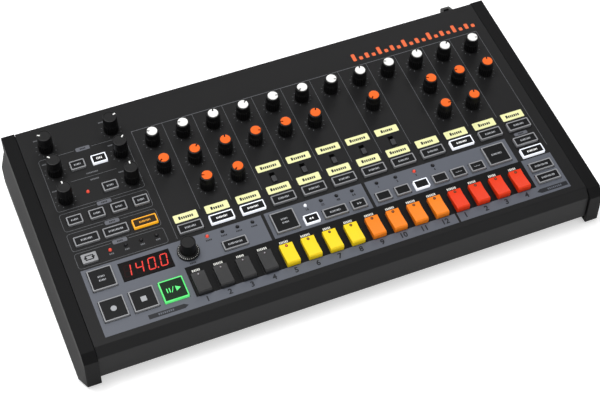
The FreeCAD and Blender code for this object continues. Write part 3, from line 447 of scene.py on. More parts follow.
def blackKnob():
    b = blackLook
    dish = b["tall"] - b["dish"]
    crown = [(b["head"] - b["rim"], b["tall"]), (b["head"] - b["rim"] - 0.2, dish), (0, dish - 0.1)]
    bm = ribbedBody(b["foot"], b["neck"], b["head"], b["tall"], crown)
    tick = slab(b["tickWide"], b["tickLong"], b["dish"] + 0.2, 0.1, 0.05)
    pour(bm, paint(tick, 1), Matrix.Translation((0, b["head"] - 0.25 - b["tickLong"] / 2, dish - 0.18)))
    return kept(bm, "blackKnob")


def dataKnob():
    # A finely grooved grip on a flat skirt with a ring of dots
    d = dataLook
    profile = [(0, 0.8), (9.8, 0.8), (10.0, 1.0), (10.0, 1.5), (9.7, 2.1), (7.2, 2.7), (6.75, 3.4),
               (d["grip"], 5.0), (d["grip"], 15.7), (6.45, 16.1), (6.2, 16.3), (5.6, 16.3), (5.4, 15.95),
               (0, 15.9)]
    bm = turned(profile, d["steps"])
    for vert in bm.verts:
        onGrip = abs(math.hypot(vert.co.x, vert.co.y) - d["grip"]) < 0.05
        if onGrip and around(vert, d["steps"]) % 2:
            pullIn(vert, d["groove"])
    for i in range(d["dots"]):
        dot = slab(d["dotWide"], d["dotWide"], 0.12, 0.2)
        place = (Matrix.Rotation(math.radians(360 / d["dots"] * i), 4, "Z")
                 @ Matrix.Translation((0, d["dotRing"], d["dotUp"])))
        pour(bm, paint(dot, 1), place @ Matrix.Rotation(math.radians(-d["skirtLean"]), 4, "X"))
    return kept(bm, "dataKnob")


def makeKnobs():
    voice, black = voiceKnob(), blackKnob()
    spots = [("level_knob_%d" % i, column(i), grid["levelRow"], turn, capWhite, "white_cap_plastic")
             for i, turn in enumerate(levelTurns, 1)]
    spots += [("tone_knob_%d" % i, column(i), grid["toneRow"], turn, capOrange, "orange_cap_plastic")
              for i, turn in toneTurns.items()]
    spots += [("decay_knob_%d" % i, column(i), grid["decayRow"], turn, capOrange, "orange_cap_plastic")
              for i, turn in decayTurns.items()]
    for node, x, v, turn, cap, slot in spots:
        bm = bmesh.new()
        stamp(bm, voice, onPanel(x, v, 0, -turn))
        piece(bm, node + "_dressed", [knobPlastic, cap], node, (node,), 30)
    for i, (x, v, turn) in enumerate(blackTurns, 1):
        node = "black_knob_%d" % i
        bm = bmesh.new()
        stamp(bm, black, onPanel(x, v, 0, -turn))
        piece(bm, node + "_dressed", [knobPlastic, capWhite], node, (node,), 30)
    bm = bmesh.new()
    stamp(bm, dataKnob(), onPanel(grid["dialX"], grid["padRow"]))
    piece(bm, "data_knob_dressed", [knobPlastic, inkWhite], "data_knob", ("data_knob",), 30)


makeKnobs()
print("knobs made")

buttonLook = {"rise": 2.2, "sink": 1.0, "frame": 1.0, "corner": 0.9, "edge": 0.25, "plateSink": 0.2,
              "sizes": {"wide": (22.2, 9.6), "small": (13.8, 9.6), "square": (21.8, 21.3)},
              "plungerWide": 3.4, "plungerDeep": 8.0}
# Rows of upright strokes on a plate: places of the rows, strokes in a row, height of a stroke
strokeRows = {"row": ((0.0,), 8, 1.9), "shortRow": ((0.0,), 5, 1.8), "twoRows": ((1.9, -1.9), 5, 1.7),
              "longRow": ((0.0,), 10, 1.9)}
strokeLook = {"pitch": 1.32, "wide": 0.85, "narrow": 0.5}
# Material numbers of frame, plate and sign, in lampKinds
lampKinds = [frameGrey, plateDark, plateLegend, glowWhite, legendWhite, glowAmber, filmAmberGlowPainted, legendAmber,
             glowGreen, filmGreenGlowPainted, legendGreen]
litWhite = {0: 3, 2: 4}
litAmber = {0: 5, 1: 6, 2: 7}
litGreen = {0: 8, 1: 9, 2: 10}


def buttonCap(wide, long, plain=False):
    b = buttonLook
    bm = slab(wide, long, b["rise"] + b["sink"], b["corner"], b["edge"], 4)
    top = topFace(bm)
    if not plain:
        bmesh.ops.inset_region(bm, faces=[top], thickness=b["frame"] - b["edge"])
        bmesh.ops.inset_region(bm, faces=[top], thickness=0.1, depth=-b["plateSink"])
        top.material_index = 1
    bmesh.ops.translate(bm, vec=(0, 0, -b["sink"]), verts=bm.verts)
    plunger = slab(b["plungerWide"], b["plungerWide"], b["plungerDeep"] - b["sink"])
    pour(bm, plunger, Matrix.Translation((0, 0, -b["plungerDeep"])))
    return bm


def mark(bm, kind, high):
    # A plain sign on a plate, in material 2
    def bar(wide, long, x=0.0, y=0.0, corner=0.0, turn=0.0):
        place = Matrix.Translation((x, y, high)) @ Matrix.Rotation(math.radians(turn), 4, "Z")
        pour(bm, paint(slab(wide, long, inkThick, corner), 2), place)

    def plate(x, size, corners, turn=0.0):
        place = Matrix.Translation((x, 0, high + inkThick / 2)) @ Matrix.Rotation(math.radians(turn), 4, "Z")
        pour(bm, paint(disc(size, corners), 2), place)

    if kind in strokeRows:
        s = strokeLook
        places, count, tall = strokeRows[kind]
        for y in places:
            for i in range(count):
                wide = s["narrow"] if i % 3 == 1 else s["wide"]
                bar(wide, tall, (i - (count - 1) / 2) * s["pitch"], y)
    elif kind == "on":
        stamp(bm, lettering("ON", 3.4), Matrix.Translation((0, 0, high + inkThick / 2)), {0: 2})
    elif kind == "back":
        plate(-1.4, 1.3, 3, 90)
        plate(0.9, 1.3, 3, 90)
    elif kind == "ahead":
        plate(-0.9, 1.3, 3, -90)
        plate(1.4, 1.3, 3, -90)
    elif kind == "roll":
        for i in range(4):
            bar(1.5, 0.45, -2.4 + 1.6 * i, turn=28 if i % 2 else -28)
    elif kind == "record":
        plate(0.0, 2.6, 32)
    elif kind == "stop":
        bar(5.0, 5.0, corner=0.2)
    elif kind == "play":
        bar(0.9, 4.6, -5.7)
        bar(0.9, 4.6, -3.4)
        bar(0.6, 6.0, -0.8, turn=-22)
        plate(3.6, 3.0, 3, -90)


def buttonTemplates():
    b = buttonLook
    high = b["rise"] - b["plateSink"]
    kinds = {"select": ("wide", "row"), "wideLong": ("wide", "longRow"), "wideShort": ("wide", "row"),
             "smallRow": ("small", "shortRow"), "smallOn": ("small", "on"), "smallBare": ("small", None),
             "back": ("small", "back"), "ahead": ("small", "ahead"), "roll": ("small", "roll"),
             "record": ("square", "record"), "stop": ("square", "stop"), "play": ("square", "play"),
             "square": ("square", "twoRows"), "squareShort": ("square", "row")}
    made = {}
    for name, (size, sign) in kinds.items():
        bm = buttonCap(*b["sizes"][size])
        if sign:
            mark(bm, sign, high)
        made[name] = kept(bm, name)
    plain = buttonCap(*b["sizes"]["small"], plain=True)
    made["arrows"] = kept(turningArrows(plain, b["rise"]), "arrows")
    return made


def turningArrows(bm, high):
    # Two bent arrows, one after the other round a rectangle
    for turn in (0, math.pi):
        flip = Matrix.Rotation(turn, 4, "Z")
        for wide, long, x, y in ((6.8, 1.0, 0.2, 2.1), (1.0, 1.8, 3.4, 1.5), (1.0, 1.4, -3.4, 1.6)):
            pour(bm, paint(slab(wide, long, inkThick), 1), flip @ Matrix.Translation((x, y, high)))
        tip = flip @ Matrix.Translation((3.4, -0.2, high + inkThick / 2)) @ Matrix.Rotation(math.pi, 4, "Z")
        pour(bm, paint(disc(2.0, 3), 1), tip)
    return bm


def stampAll(name, spots, made):
    bm = bmesh.new()
    for kind, x, v, lit in spots:
        stamp(bm, made[kind], onPanel(x, v), lit)
    piece(bm, name + "_dressed", lampKinds, name, (name,))


def makeButtons():
    made = buttonTemplates()
    g = grid
    stampAll("select_buttons", [("select", column(i), g["selectRow"], litWhite if i in (2, 3, 10) else None)
                                for i in range(1, 13)], made)
    stampAll("function_buttons", [
        ("smallRow", step(-2), 185.1, None), ("smallOn", step(-1), 185.1, litWhite),
        ("smallRow", step(-1), 152.8, None), ("arrows", step(-3), 85.4, None),
        ("smallRow", step(-3), 128.0, None), ("smallRow", step(-2), 128.0, None),
        ("smallRow", step(-1), 128.0, None), ("smallRow", step(0), 128.0, None),
        ("wideShort", along("pad", 0), 105.1, None), ("wideLong", along("pad", 1), 105.1, None),
        ("wideShort", along("pad", 2), 105.1, litAmber),
        ("wideLong", -85.8, g["menuRow"], None), ("back", -13.8, g["menuRow"], litWhite),
        ("wideShort", 8.8, g["menuRow"], None), ("ahead", 31.4, g["menuRow"], None),
        ("smallBare", along("menu", 0), g["menuRow"], None),
        ("smallBare", along("menu", 1), g["menuRow"], None),
        ("smallBare", along("menu", 2), g["menuRow"], litWhite),
        ("smallBare", along("menu", 3), g["menuRow"], None),
        ("roll", along("menu", 4), g["menuRow"], None), ("roll", along("menu", 5), g["menuRow"], None),
        ("wideShort", g["endX"], 67.3, None), ("wideShort", g["endX"], 53.6, litWhite),
        ("wideLong", g["endX"], 35.8, None), ("wideLong", g["endX"], 22.4, None)], made)
    stampAll("square_pads", [
        ("record", along("pad", 0), g["lowPadRow"], None), ("stop", along("pad", 1), g["lowPadRow"], None),
        ("play", along("pad", 2), g["lowPadRow"], litGreen), ("square", along("pad", 0), g["padRow"], None),
        ("square", -36.8, g["padRow"], None), ("squareShort", 171.2, g["padRow"], None)], made)


makeButtons()
print("buttons made")

keyLook = {"wide": 12.4, "long": 21.2, "sink": 0.2, "rear": 4.2, "crease": 3.7, "creaseBack": 7.0,
           "front": 5.6, "nose": 1.2, "noseDrop": 1.6, "lampBack": 2.4, "lampRadius": 1.0, "stem": 6.0}


def stepKey():
    k = keyLook
    half = k["long"] / 2
    creaseY = half - k["creaseBack"]
    bm = bmesh.new()
    side = [(-half, -k["sink"]), (half, -k["sink"]), (half, k["rear"]), (creaseY, k["crease"]),
            (-half + k["nose"], k["front"]), (-half, k["front"] - k["noseDrop"])]
    bm.faces.new([bm.verts.new((-k["wide"] / 2, y, z)) for y, z in side])
    drawOut(bm, (k["wide"], 0, 0))
    rim = []
    for edge in bm.edges:
        a, b = [v.co for v in edge.verts]
        isCrease = abs(a.x - b.x) > 1 and abs(a.y - creaseY) < 0.01
        if max(a.z, b.z) > 0 and not isCrease:
            rim.append(edge)
    soften(bm, rim, 0.45, 3)
    r = k["lampRadius"]
    lens = turned([(0, 0.12), (r * 0.6, 0.08), (r * 0.8, -0.02), (r * 0.8, -0.6), (0, -0.6)], 24)
    ring = turned([(r * 0.82, -0.4), (r * 0.82, 0.08), (r * 1.0, 0.16), (r * 1.3, 0.12), (r * 1.4, -0.4),
                   (r * 0.82, -0.4)], 24)
    slopeUp = math.atan2(k["rear"] - k["crease"], k["creaseBack"])
    high = k["rear"] - math.tan(slopeUp) * k["lampBack"]
    place = Matrix.Translation((0, half - k["lampBack"], high)) @ Matrix.Rotation(slopeUp, 4, "X")
    pour(bm, paint(lens, 1), place)
    pour(bm, paint(ring, 2), place)
    pour(bm, slab(k["stem"], k["stem"], 8.0), Matrix.Translation((0, 0, -8.2)))
    return kept(bm, "stepKey")


def makeStepKeys():
    key = stepKey()
    for colour, first, cap in (("black", 1, keyBlack), ("yellow", 5, keyYellow), ("orange", 9, keyOrange),
                               ("red", 13, keyRed)):
        lens = lampSmoke if colour == "black" else lampAmber
        bm = bmesh.new()
        for i in range(first, first + 4):
            stamp(bm, key, onPanel(step(i), grid["stepRow"]), {1: 3} if i == 5 else None)
        node = "step_keys_" + colour
        piece(bm, node + "_dressed", [cap, lens, lampDark, glowRed], node, (node,))


makeStepKeys()
print("step keys made")

leverLook = {"wide": 4.2, "long": 6.6, "rise": 1.5, "tail": 5.4, "travel": 4.0}


def makeLevers():
    k = leverLook
    high = k["rise"] + k["tail"]
    lever = slab(k["wide"], k["long"], high, 0.5, 0.35, 3)
    for i in range(4):
        ridge = slab(k["wide"] - 1.0, 0.45, 0.12, 0.1)
        pour(lever, ridge, Matrix.Translation((0, -2.1 + 1.4 * i, high - 0.02)))
    template = kept(lever, "lever")
    bm = bmesh.new()
    for i in range(4, 9):
        stamp(bm, template, onPanel(column(i), grid["slideRow"] - k["travel"] / 2, -k["tail"]))
    piece(bm, "slide_levers_dressed", [leverGrey], "slide_levers", ("slide_levers",))


# Rows of four lamps: row, place up the slope, the lit one and its material number
lampRows = (("track", grid["lampRow"], 0, 1), ("count", grid["lampRow"], 0, 2), 
            ("menu", grid["lampRow"], 2, 1), ("side", grid["sideLampRow"], 0, 1))
lampLook = {"radius": 1.4, "foot": -11.0, "steps": 28, "loneX": -188.2, "loneV": 154.2}


def makeLamps():
    k = lampLook
    dome = kept(turned([(0, k["foot"]), (k["radius"], k["foot"]), (k["radius"], 0.2), (1.33, 0.65),
                        (1.1, 1.1), (0.75, 1.42), (0.35, 1.57), (0, 1.6)], k["steps"]), "dome")
    bm = bmesh.new()
    for row, v, litOne, glow in lampRows:
        for i in range(4):
            stamp(bm, dome, onPanel(along(row, i), v), {0: glow} if i == litOne else None)
    stamp(bm, dome, onPanel(k["loneX"], k["loneV"]), {0: 1})
    piece(bm, "indicator_lamps_dressed", [lampClear, glowRed, glowWhite], "case", ("indicator_lamps",))


displayLook = {"x": -165.1, "v": 61.7, "wide": 45.6, "tall": 19.2, "rise": 0.4, "digitWide": 5.7,
               "digitTall": 11.4, "stroke": 1.05, "lean": 9.0, "pitch": 10.9, "shift": -0.4, "segmentGap": 0.25,
               "lift": 0.01}
segments = {"1": "bc", "4": "bcfg", "0": "abcdef"}


def segmentBar(length, stroke):
    # A six-cornered bar: a flat block whose ends are drawn to points
    bm = slab(length - stroke, stroke, inkThick)
    for sign in (1, -1):
        end = next(f for f in bm.faces if f.normal.x * sign > 0.9)
        short = [e for e in end.edges if abs(e.verts[0].co.y - e.verts[1].co.y) > 0.1]
        cut = bmesh.ops.subdivide_edges(bm, edges=short, cuts=1)
        for vert in [g for g in cut["geom_inner"] if isinstance(g, bmesh.types.BMVert)]:
            vert.co.x += sign * stroke / 2
    return bm


def makeDisplay():
    d = displayLook
    bm = bmesh.new()
    window = slab(d["wide"], d["tall"], 1.5, 0.4, 0.15)
    pour(bm, window, onPanel(d["x"], d["v"], d["rise"] - 1.5))
    pour(bm, slab(d["wide"] - 2, d["tall"] - 2, 9.8), onPanel(d["x"], d["v"], -11.0))
    wide, tall = d["digitWide"], d["digitTall"]
    high = d["rise"] + d["lift"]
    places = {"a": (0, tall / 2, 0), "g": (0, 0, 0), "d": (0, -tall / 2, 0),
              "f": (-wide / 2, tall / 4, 90), "b": (wide / 2, tall / 4, 90),
              "e": (-wide / 2, -tall / 4, 90), "c": (wide / 2, -tall / 4, 90)}
    lean = Matrix.Identity(4)
    lean[0][1] = math.tan(math.radians(d["lean"]))
    for n, digit in enumerate("1400"):
        centre = d["x"] + d["shift"] + (n - 1.5) * d["pitch"]
        for name, (x, y, turn) in places.items():
            length = (wide if turn == 0 else tall / 2) - d["segmentGap"]
            bar = paint(segmentBar(length, d["stroke"]), 1 if name in segments[digit] else 2)
            onDigit = Matrix.Translation((x, y, 0)) @ Matrix.Rotation(math.radians(turn), 4, "Z")
            pour(bm, bar, onPanel(centre, d["v"], high) @ lean @ onDigit)
        dot = paint(slab(1.3, 1.3, inkThick, 0.4), 1 if n == 2 else 2)
        pour(bm, dot, onPanel(centre + wide / 2 + 1.1, d["v"] - tall / 2, high))
    piece(bm, "number_display_dressed", [windowFilm, digitLit, digitOff], "case", ("number_display",))


makeLevers()
makeLamps()
makeDisplay()
print("levers, lamps and display made")

inks = [inkGrey, inkLine, inkPill, inkCream, inkDark, inkWhite, inkOrange, inkBlack]
slate, thin, pill, cream, navy, white, orange, black = range(8)
# Areas are (left, right, front, rear)
printLook = {"slateAreas": ((-219.8, -135.6, 5.9, 75.6), (-135.6, -54.5, 47.4, 75.6), 
                            (-51.5, 42.3, 47.4, 75.9), (45.4, 186.5, 47.4, 75.8), (189.0, 218.8, 5.9, 47.0),
                            (-135.6, 107.0, 5.9, 15.9), (109.0, 189.0, 5.9, 15.9)),
             "keyArea": (-135.4, 188.8, 16.1, 47.2), "frameRear": 204.6, "line": 0.32, "frameCorner": 2.5,
             "sideFrames": ((141.5, 201.9), (118.9, 138.3), (96.9, 115.9), (77.6, 94.1)),
             "sideSpan": (-220.0, -139.0), "sideGap": (-186.5, -170.2), "pillWide": 13.2, "keyNumber": 7.4,
             "lampNumber": 3.4, "lampNumberV": 66.8, "barFirst": 95.5, "barPitch": 6.6, "barV": 210.5,
             "bars": 20}


def inkedAreas(bm, boxes, number):
    # The panel's own top face, cut to each box, so that every opening stays open
    source = bmesh.new()
    source.from_mesh(frame["nodes"]["top_panel"].data)
    bmesh.ops.remove_doubles(source, verts=source.verts, dist=1e-6)
    bmesh.ops.transform(source, matrix=Matrix.Scale(1000, 4) @ slope.inverted(), verts=source.verts)
    source.normal_update()
    other = [f for f in source.faces if abs(f.calc_center_median().z) > 0.01 or f.normal.z < 0.99]
    bmesh.ops.delete(source, geom=other, context="FACES")
    top = kept(source, "topFace")
    for left, right, front, rear in boxes:
        part = bmesh.new()
        part.from_mesh(top)
        for spot, normal in (((left, 0, 0), (-1, 0, 0)), ((right, 0, 0), (1, 0, 0)),
                             ((0, front, 0), (0, -1, 0)), ((0, rear, 0), (0, 1, 0))):
            bmesh.ops.bisect_plane(part, geom=everything(part), plane_co=spot, plane_no=normal,
                                   clear_outer=True)
        drawOut(part, (0, 0, inkThick))
        pour(bm, paint(part, number), onPanel(0, 0, 0.01))


def line(bm, start, end, wide=printLook["line"]):
    (x0, v0), (x1, v1) = start, end
    length = math.hypot(x1 - x0, v1 - v0)
    turn = math.degrees(math.atan2(v1 - v0, x1 - x0))
    printBar(bm, (x0 + x1) / 2, (v0 + v1) / 2, length + wide, wide, thin, turn=turn)


def box(bm, left, right, front, rear, gap):
    # A thin frame with rounded corners; gap is (from, to) left open along its rear line
    corner = printLook["frameCorner"]
    line(bm, (left + corner, rear), (gap[0], rear))
    line(bm, (gap[1], rear), (right - corner, rear))
    line(bm, (left + corner, front), (right - corner, front))
    line(bm, (left, front + corner), (left, rear - corner))
    line(bm, (right, front + corner), (right, rear - corner))
    for x, v, first in ((right - corner, rear - corner, 0), (left + corner, rear - corner, 90),
                        (left + corner, front + corner, 180), (right - corner, front + corner, 270)):
        turns = [math.radians(first + a) for a in (0, 30, 60, 90)]
        points = [(x + corner * math.cos(turn), v + corner * math.sin(turn)) for turn in turns]
        for a, b in zip(points, points[1:]):
            line(bm, a, b)


def ticks(bm, x, v, inner=7.8, outer=9.2):
    # Eleven scale marks over a knob's 300 degrees
    middle = (inner + outer) / 2
    for i in range(11):
        turn = math.radians(-150 + 30 * i)
        printBar(bm, x + middle * math.sin(turn), v + middle * math.cos(turn), 0.35, outer - inner, thin,
                 turn=-math.degrees(turn))


def printBlocks(bm, x, v, count):
    # Blocks of uneven width on a label, the first one taller
    gap = 0.55
    marks = [1.9] + [dice.choice((1.2, 1.4, 1.6)) for _ in range(count - 1)]
    place = x - (sum(marks) + gap * (count - 1)) / 2
    for n, wide in enumerate(marks):
        tall = 3.3 if n == 0 else 2.5
        printBar(bm, place + wide / 2, v - 1.4 + tall / 2, wide, tall, navy, lift=secondCoat)
        place += wide + gap


def arrowPill(bm, left, right, v, sign):
    # A dark bar that ends in an arrow; sign 1 points right
    tip = right if sign > 0 else left
    middle = (left + right) / 2
    printBar(bm, middle - sign * 1.5, v, right - left - 3.0, 4.4, navy, lift=secondCoat)
    head = onPanel(tip - sign * 2.0, v, secondCoat + inkThick / 2, -90 * sign)
    pour(bm, paint(disc(2.6, 3), navy), head)
    printRow(bm, middle - sign * 2.0, v, (1.3, 1.2, 1.0, 1.3, 1.2, 1.1, 1.3, 1.2), 1.9, 0.6, slate, thirdCoat)


def blockRow(bm, x, v, marks=(1.0, 1.1, 1.0, 1.1), tall=1.6, number=navy, lift=secondCoat):
    printRow(bm, x, v, marks, tall, 0.4, number, lift)


def makePrint():
    p = printLook
    bm = bmesh.new()
    inkedAreas(bm, p["slateAreas"], slate)
    inkedAreas(bm, [p["keyArea"]], black)
    for i in range(1, 13):
        printBar(bm, column(i), 97.8, 21.8, 8.5, cream, corner=0.8)
        printBlocks(bm, column(i), 97.7, dice.choice((6, 7, 8)))
    for i in range(4, 9):
        printBar(bm, column(i), 123.2, 22.4, 7.8, cream, corner=0.8)
        printBlocks(bm, column(i), 123.1, dice.choice((6, 7, 8)))
    # lines between the voice columns; the outermost two run further down
    line(bm, (-131.3, p["frameRear"]), (219.8, p["frameRear"]), 0.5)
    for i in range(13):
        x = column(i) + grid["columnPitch"] / 2
        low = {0: 78.0, 12: 56.0}.get(i, 101.0)
        line(bm, (x, p["frameRear"]), (x, low))
    for i in range(1, 13):
        ticks(bm, column(i), grid["levelRow"])
    for i in toneTurns:
        ticks(bm, column(i), grid["toneRow"])
    for i in decayTurns:
        ticks(bm, column(i), grid["decayRow"])
    for x, v, _ in blackTurns:
        ticks(bm, x, v, 8.4, 9.6)
        printRow(bm, x - 6.0, v + 11.6, (0.8, 0.9, 0.7, 0.9, 0.8), 1.3, 0.35, thin)
    # frames at the left, each with a pill in the gap of its rear line
    for front, rear in p["sideFrames"]:
        box(bm, *p["sideSpan"], front, rear, p["sideGap"])
    line(bm, (-199.0, 169.6), (-157.0, 169.6))
    for front, rear in p["sideFrames"]:
        printBar(bm, grid["sideX"], rear, p["pillWide"], 4.3, pill, corner=1.2)
        blockRow(bm, grid["sideX"], rear, (1.0, 1.1, 0.9, 1.0), 1.7)
    # rows of blocks and numbers at the step keys
    for i in range(1, 17):
        marks = [dice.choice((0.8, 1.0, 1.2)) for _ in range(dice.choice((5, 6)))]
        printRow(bm, step(i), 41.7, marks, 2.3, 0.5, white)
        number = i if i < 13 else i - 12
        stamp(bm, lettering(str(number), p["keyNumber"]), onPanel(step(i), 11.0, secondCoat), {0: navy})
    arrowPill(bm, -180.0, -145.0, 11.4, 1)
    arrowPill(bm, 187.5, 217.5, 10.6, -1)
    printBar(bm, grid["endX"], 76.2, p["pillWide"], 3.6, pill, corner=1.0)
    blockRow(bm, grid["endX"], 76.2, (1.0, 1.1, 0.9, 1.0))
    blockRow(bm, grid["dialX"], 49.6)
    for v, marks in ((173.4, (1.0, 0.8, 1.0, 1.1, 0.9, 1.0, 1.0, 0.9)),
                     (165.6, (1.0, 0.9, 1.1, 0.8, 1.0, 1.0))):
        blockRow(bm, grid["sideX"], v, marks, 1.5, thin, firstCoat)
    # rows of blocks and numbers under the lamps
    for i in range(4):
        blockRow(bm, along("track", i), 67.0)
        blockRow(bm, along("side", i), 83.6, (1.0, 1.1, 1.0), 1.6, thin, firstCoat)
        for row, number in (("count", 16 * (i + 1)), ("menu", i + 1)):
            place = onPanel(along(row, i), p["lampNumberV"], secondCoat)
            stamp(bm, lettering(str(number), p["lampNumber"]), place, {0: navy})
    # a plain row of bars at the rear right
    for i in range(p["bars"]):
        tall = (9.0, 4.0, 6.5, 4.0)[i % 4]
        printBar(bm, p["barFirst"] + p["barPitch"] * i, p["barV"] + tall / 2, 3.6, tall, orange, corner=1.0)
    piece(bm, "panel_print", inks, "case", ())


makePrint()
print("print made")

# On the rear panel, local x runs to the left of the case, y up and z out of it
rearLook = {"jackFirst": -213.0, "jackPitch": 22.0, "jacks": 13, "jackZ": 34.0, "collar": 5.5, "nut": 7.2,
            "nutThick": 2.2, "midiFirst": 79.0, "midiPitch": 22.0, "midiZ": 36.0, "midiBore": 6.7,
            "boreDeep": 9.0, "dataX": 144.5, "dataZ": 32.8, "dataWide": 8.6, "dataTall": 7.9, "supplyX": 163.0,
            "supplyZ": 32.5, "contactRing": 3.9, "contactFloor": 6.2, "numeral": 4.0, "sign": 3.2,
            "ruleUp": 18.0, "rulePast": 8}
rockerLook = {"x": 185.0, "pivotIn": 0.4, "tilt": 11.0, "faceLean": 22.2, "markOut": 2.62, "markUp": 2.45,
              "edge": 0.35}
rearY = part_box("rear_panel")[1].y * 1000
jackX = [rearLook["jackFirst"] + i * rearLook["jackPitch"] for i in range(rearLook["jacks"])]
midiX = [rearLook["midiFirst"] + i * rearLook["midiPitch"] for i in range(3)]
facingBack = Matrix.Rotation(math.pi, 4, "Z") @ Matrix.Rotation(math.pi / 2, 4, "X")


def onRear(x, z, out=0.0):
    return inCase(x, rearY + out, z) @ facingBack


def lockNut():
    # A notched ring nut with both rims chamfered
    r = rearLook
    inner, outer, thick = r["collar"] + 0.05, r["nut"], r["nutThick"]
    bm = turned([(inner, 0), (outer - 0.2, 0), (outer, 0.2), (outer, thick - 0.3), (outer - 0.3, thick),
                 (inner + 0.2, thick), (inner, thick - 0.2), (inner, 0)], 48)
    for vert in bm.verts:
        onRim = math.hypot(vert.co.x, vert.co.y) > outer - 0.4
        if onRim and around(vert, 48) % 8 < 2:
            pullIn(vert, 0.7)
    return kept(bm, "lockNut")


def makeJacks():
    # The CAD jacks with rounded mouths; their plain rings give way to the notched nuts
    r = rearLook
    bm = bmesh.new()
    bm.from_mesh(frame["nodes"]["output_jacks"].data)
    bmesh.ops.remove_doubles(bm, verts=bm.verts, dist=2e-6)
    rings = []
    for vert in bm.verts:
        fromAxis = min(math.hypot(vert.co.x * 1000 - x, vert.co.z * 1000 - r["jackZ"]) for x in jackX)
        if vert.co.y > rearY / 1000 - 1e-5 and fromAxis > r["collar"] + 0.02:
            rings.append(vert)
    bmesh.ops.delete(bm, geom=rings, context="VERTS")
    mouths = [e for e in bm.edges if len(e.link_faces) == 2 and e.calc_face_angle(0) > 1
              and min(v.co.y for v in e.verts) * 1000 > rearY + 3.4]
    soften(bm, mouths, 0.0003)
    nut = lockNut()
    for x in jackX:
        stamp(bm, nut, onRear(x, r["jackZ"]), {0: 1})
    piece(bm, "output_jacks_dressed", [socketBlack, nickel], "case", ("output_jacks",))


def makeContacts():
    # What is inside the other sockets: five contacts in a half circle, a tongue, a centre pin
    r = rearLook
    deep = r["boreDeep"]
    floor = r["contactFloor"]
    bm = bmesh.new()
    for x in midiX:
        core = turned([(0, -deep), (5.7, -deep), (5.7, -floor), (5.5, 0.2 - floor), (0, 0.2 - floor)], 40)
        pour(bm, paint(core, 0), onRear(x, r["midiZ"]))
        ring = kept(turned([(0.35, -floor), (0.35, -5.95), (0.45, -5.85), (0.8, -5.85), (0.9, -5.95),
                            (0.9, -floor), (0.35, -floor)], 20), "contact")
        for n in range(5):
            turn = math.radians(180 + 45 * n)
            out = r["contactRing"]
            spot = Matrix.Translation((out * math.cos(turn), out * math.sin(turn), 0))
            stamp(bm, ring, onRear(x, r["midiZ"]) @ spot, {0: 1})
        key = slab(1.6, 0.8, deep - 3.0, 0.3)
        pour(bm, paint(key, 0), onRear(x, r["midiZ"] + 0.3 - r["midiBore"], -deep))
    tongue = slab(4.4, 2.4, 7.0, 0.2, 0.2)
    pour(bm, paint(tongue, 2), onRear(r["dataX"], r["dataZ"], -deep))
    halfWide = r["dataWide"] / 2 - 0.09
    halfTall = r["dataTall"] / 2 - 0.09
    for sign in (1, -1):
        for x in (-1.1, 1.1):
            pour(bm, paint(slab(0.7, 0.12, 5.5), 1), onRear(r["dataX"] + x, r["dataZ"] + sign * 1.24, -deep))
        pour(bm, paint(slab(0.15, r["dataTall"] - 0.2, deep - 0.2), 1),
             onRear(r["dataX"] + sign * halfWide, r["dataZ"], -deep))
        pour(bm, paint(slab(r["dataWide"] - 0.4, 0.15, deep - 0.2), 1),
             onRear(r["dataX"], r["dataZ"] + sign * halfTall, -deep))
    pin = turned([(0, -deep), (0.95, -deep), (0.95, -1.6), (0.7, -1.1), (0.3, -0.85), (0, -0.8)], 24)
    pour(bm, paint(pin, 1), onRear(r["supplyX"], r["supplyZ"]))
    piece(bm, "socket_contacts", [socketBlack, nickel, capWhite], "case", ())


def makeRearPrint():
    r = rearLook
    bm = bmesh.new()
    marks = [(str(n), r["numeral"], x, 12.0) for n, x in enumerate(jackX, 1)]
    marks += [(str(n), r["numeral"], x, 14.5) for n, x in enumerate(midiX, 1)]
    marks += [("ON", r["sign"], rockerLook["x"], 11.5), ("OFF", r["sign"], rockerLook["x"], -11.5)]
    for text, tall, x, up in marks:
        stamp(bm, lettering(text, tall), onRear(x, r["jackZ"] + up, inkThick))
    for places in (jackX, midiX):
        left = places[0] - r["rulePast"]
        right = places[-1] + r["rulePast"]
        rule = slab(right - left, 0.35, inkThick)
        pour(bm, rule, onRear((left + right) / 2, r["jackZ"] + r["ruleUp"], firstCoat))
    piece(bm, "rear_print", [inkWhite], "case", ())


def makeRocker():
    # The CAD rocker with softened edges, a bar on its upper face and a ring on its lower one
    k = rockerLook
    softened("power_rocker_dressed", "power_rocker", k["edge"], rockerBlack, "power_rocker")
    bar = slab(0.5, 2.4, 0.06)
    ring = turned([(0.85, 0), (1.3, 0), (1.3, 0.06), (0.85, 0.06), (0.85, 0)], 32)
    bm = bmesh.new()
    pivot = (inCase(k["x"], rearY - k["pivotIn"], rearLook["jackZ"])
             @ Matrix.Rotation(math.radians(k["tilt"]), 4, "X"))
    for sign, shape in ((1, bar), (-1, ring)):
        pour(bm, shape, pivot @ Matrix.Translation((0, k["markOut"], sign * k["markUp"]))
             @ Matrix.Rotation(-sign * math.radians(k["faceLean"]), 4, "X") @ facingBack)
    piece(bm, "rocker_marks", [inkWhite], "power_rocker", ())


makeJacks()
makeContacts()
makeRearPrint()
makeRocker()
print("rear made")

# Case parts that are the CAD shapes with rounded edges; widths in mm

for node, width, material, slot in (
        ("left_end_cheek", 1.2, cheekPlastic, "cheek_plastic"),
        ("right_end_cheek", 1.2, cheekPlastic, "cheek_plastic"),
        ("cable_hook", 0.5, socketBlack, "hook_plastic"),
        ("rubber_feet", 0.5, rubberBlack, "foot_rubber")):
    softened(node + "_dressed", node, width, material, frame["nodes"][node]["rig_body"])

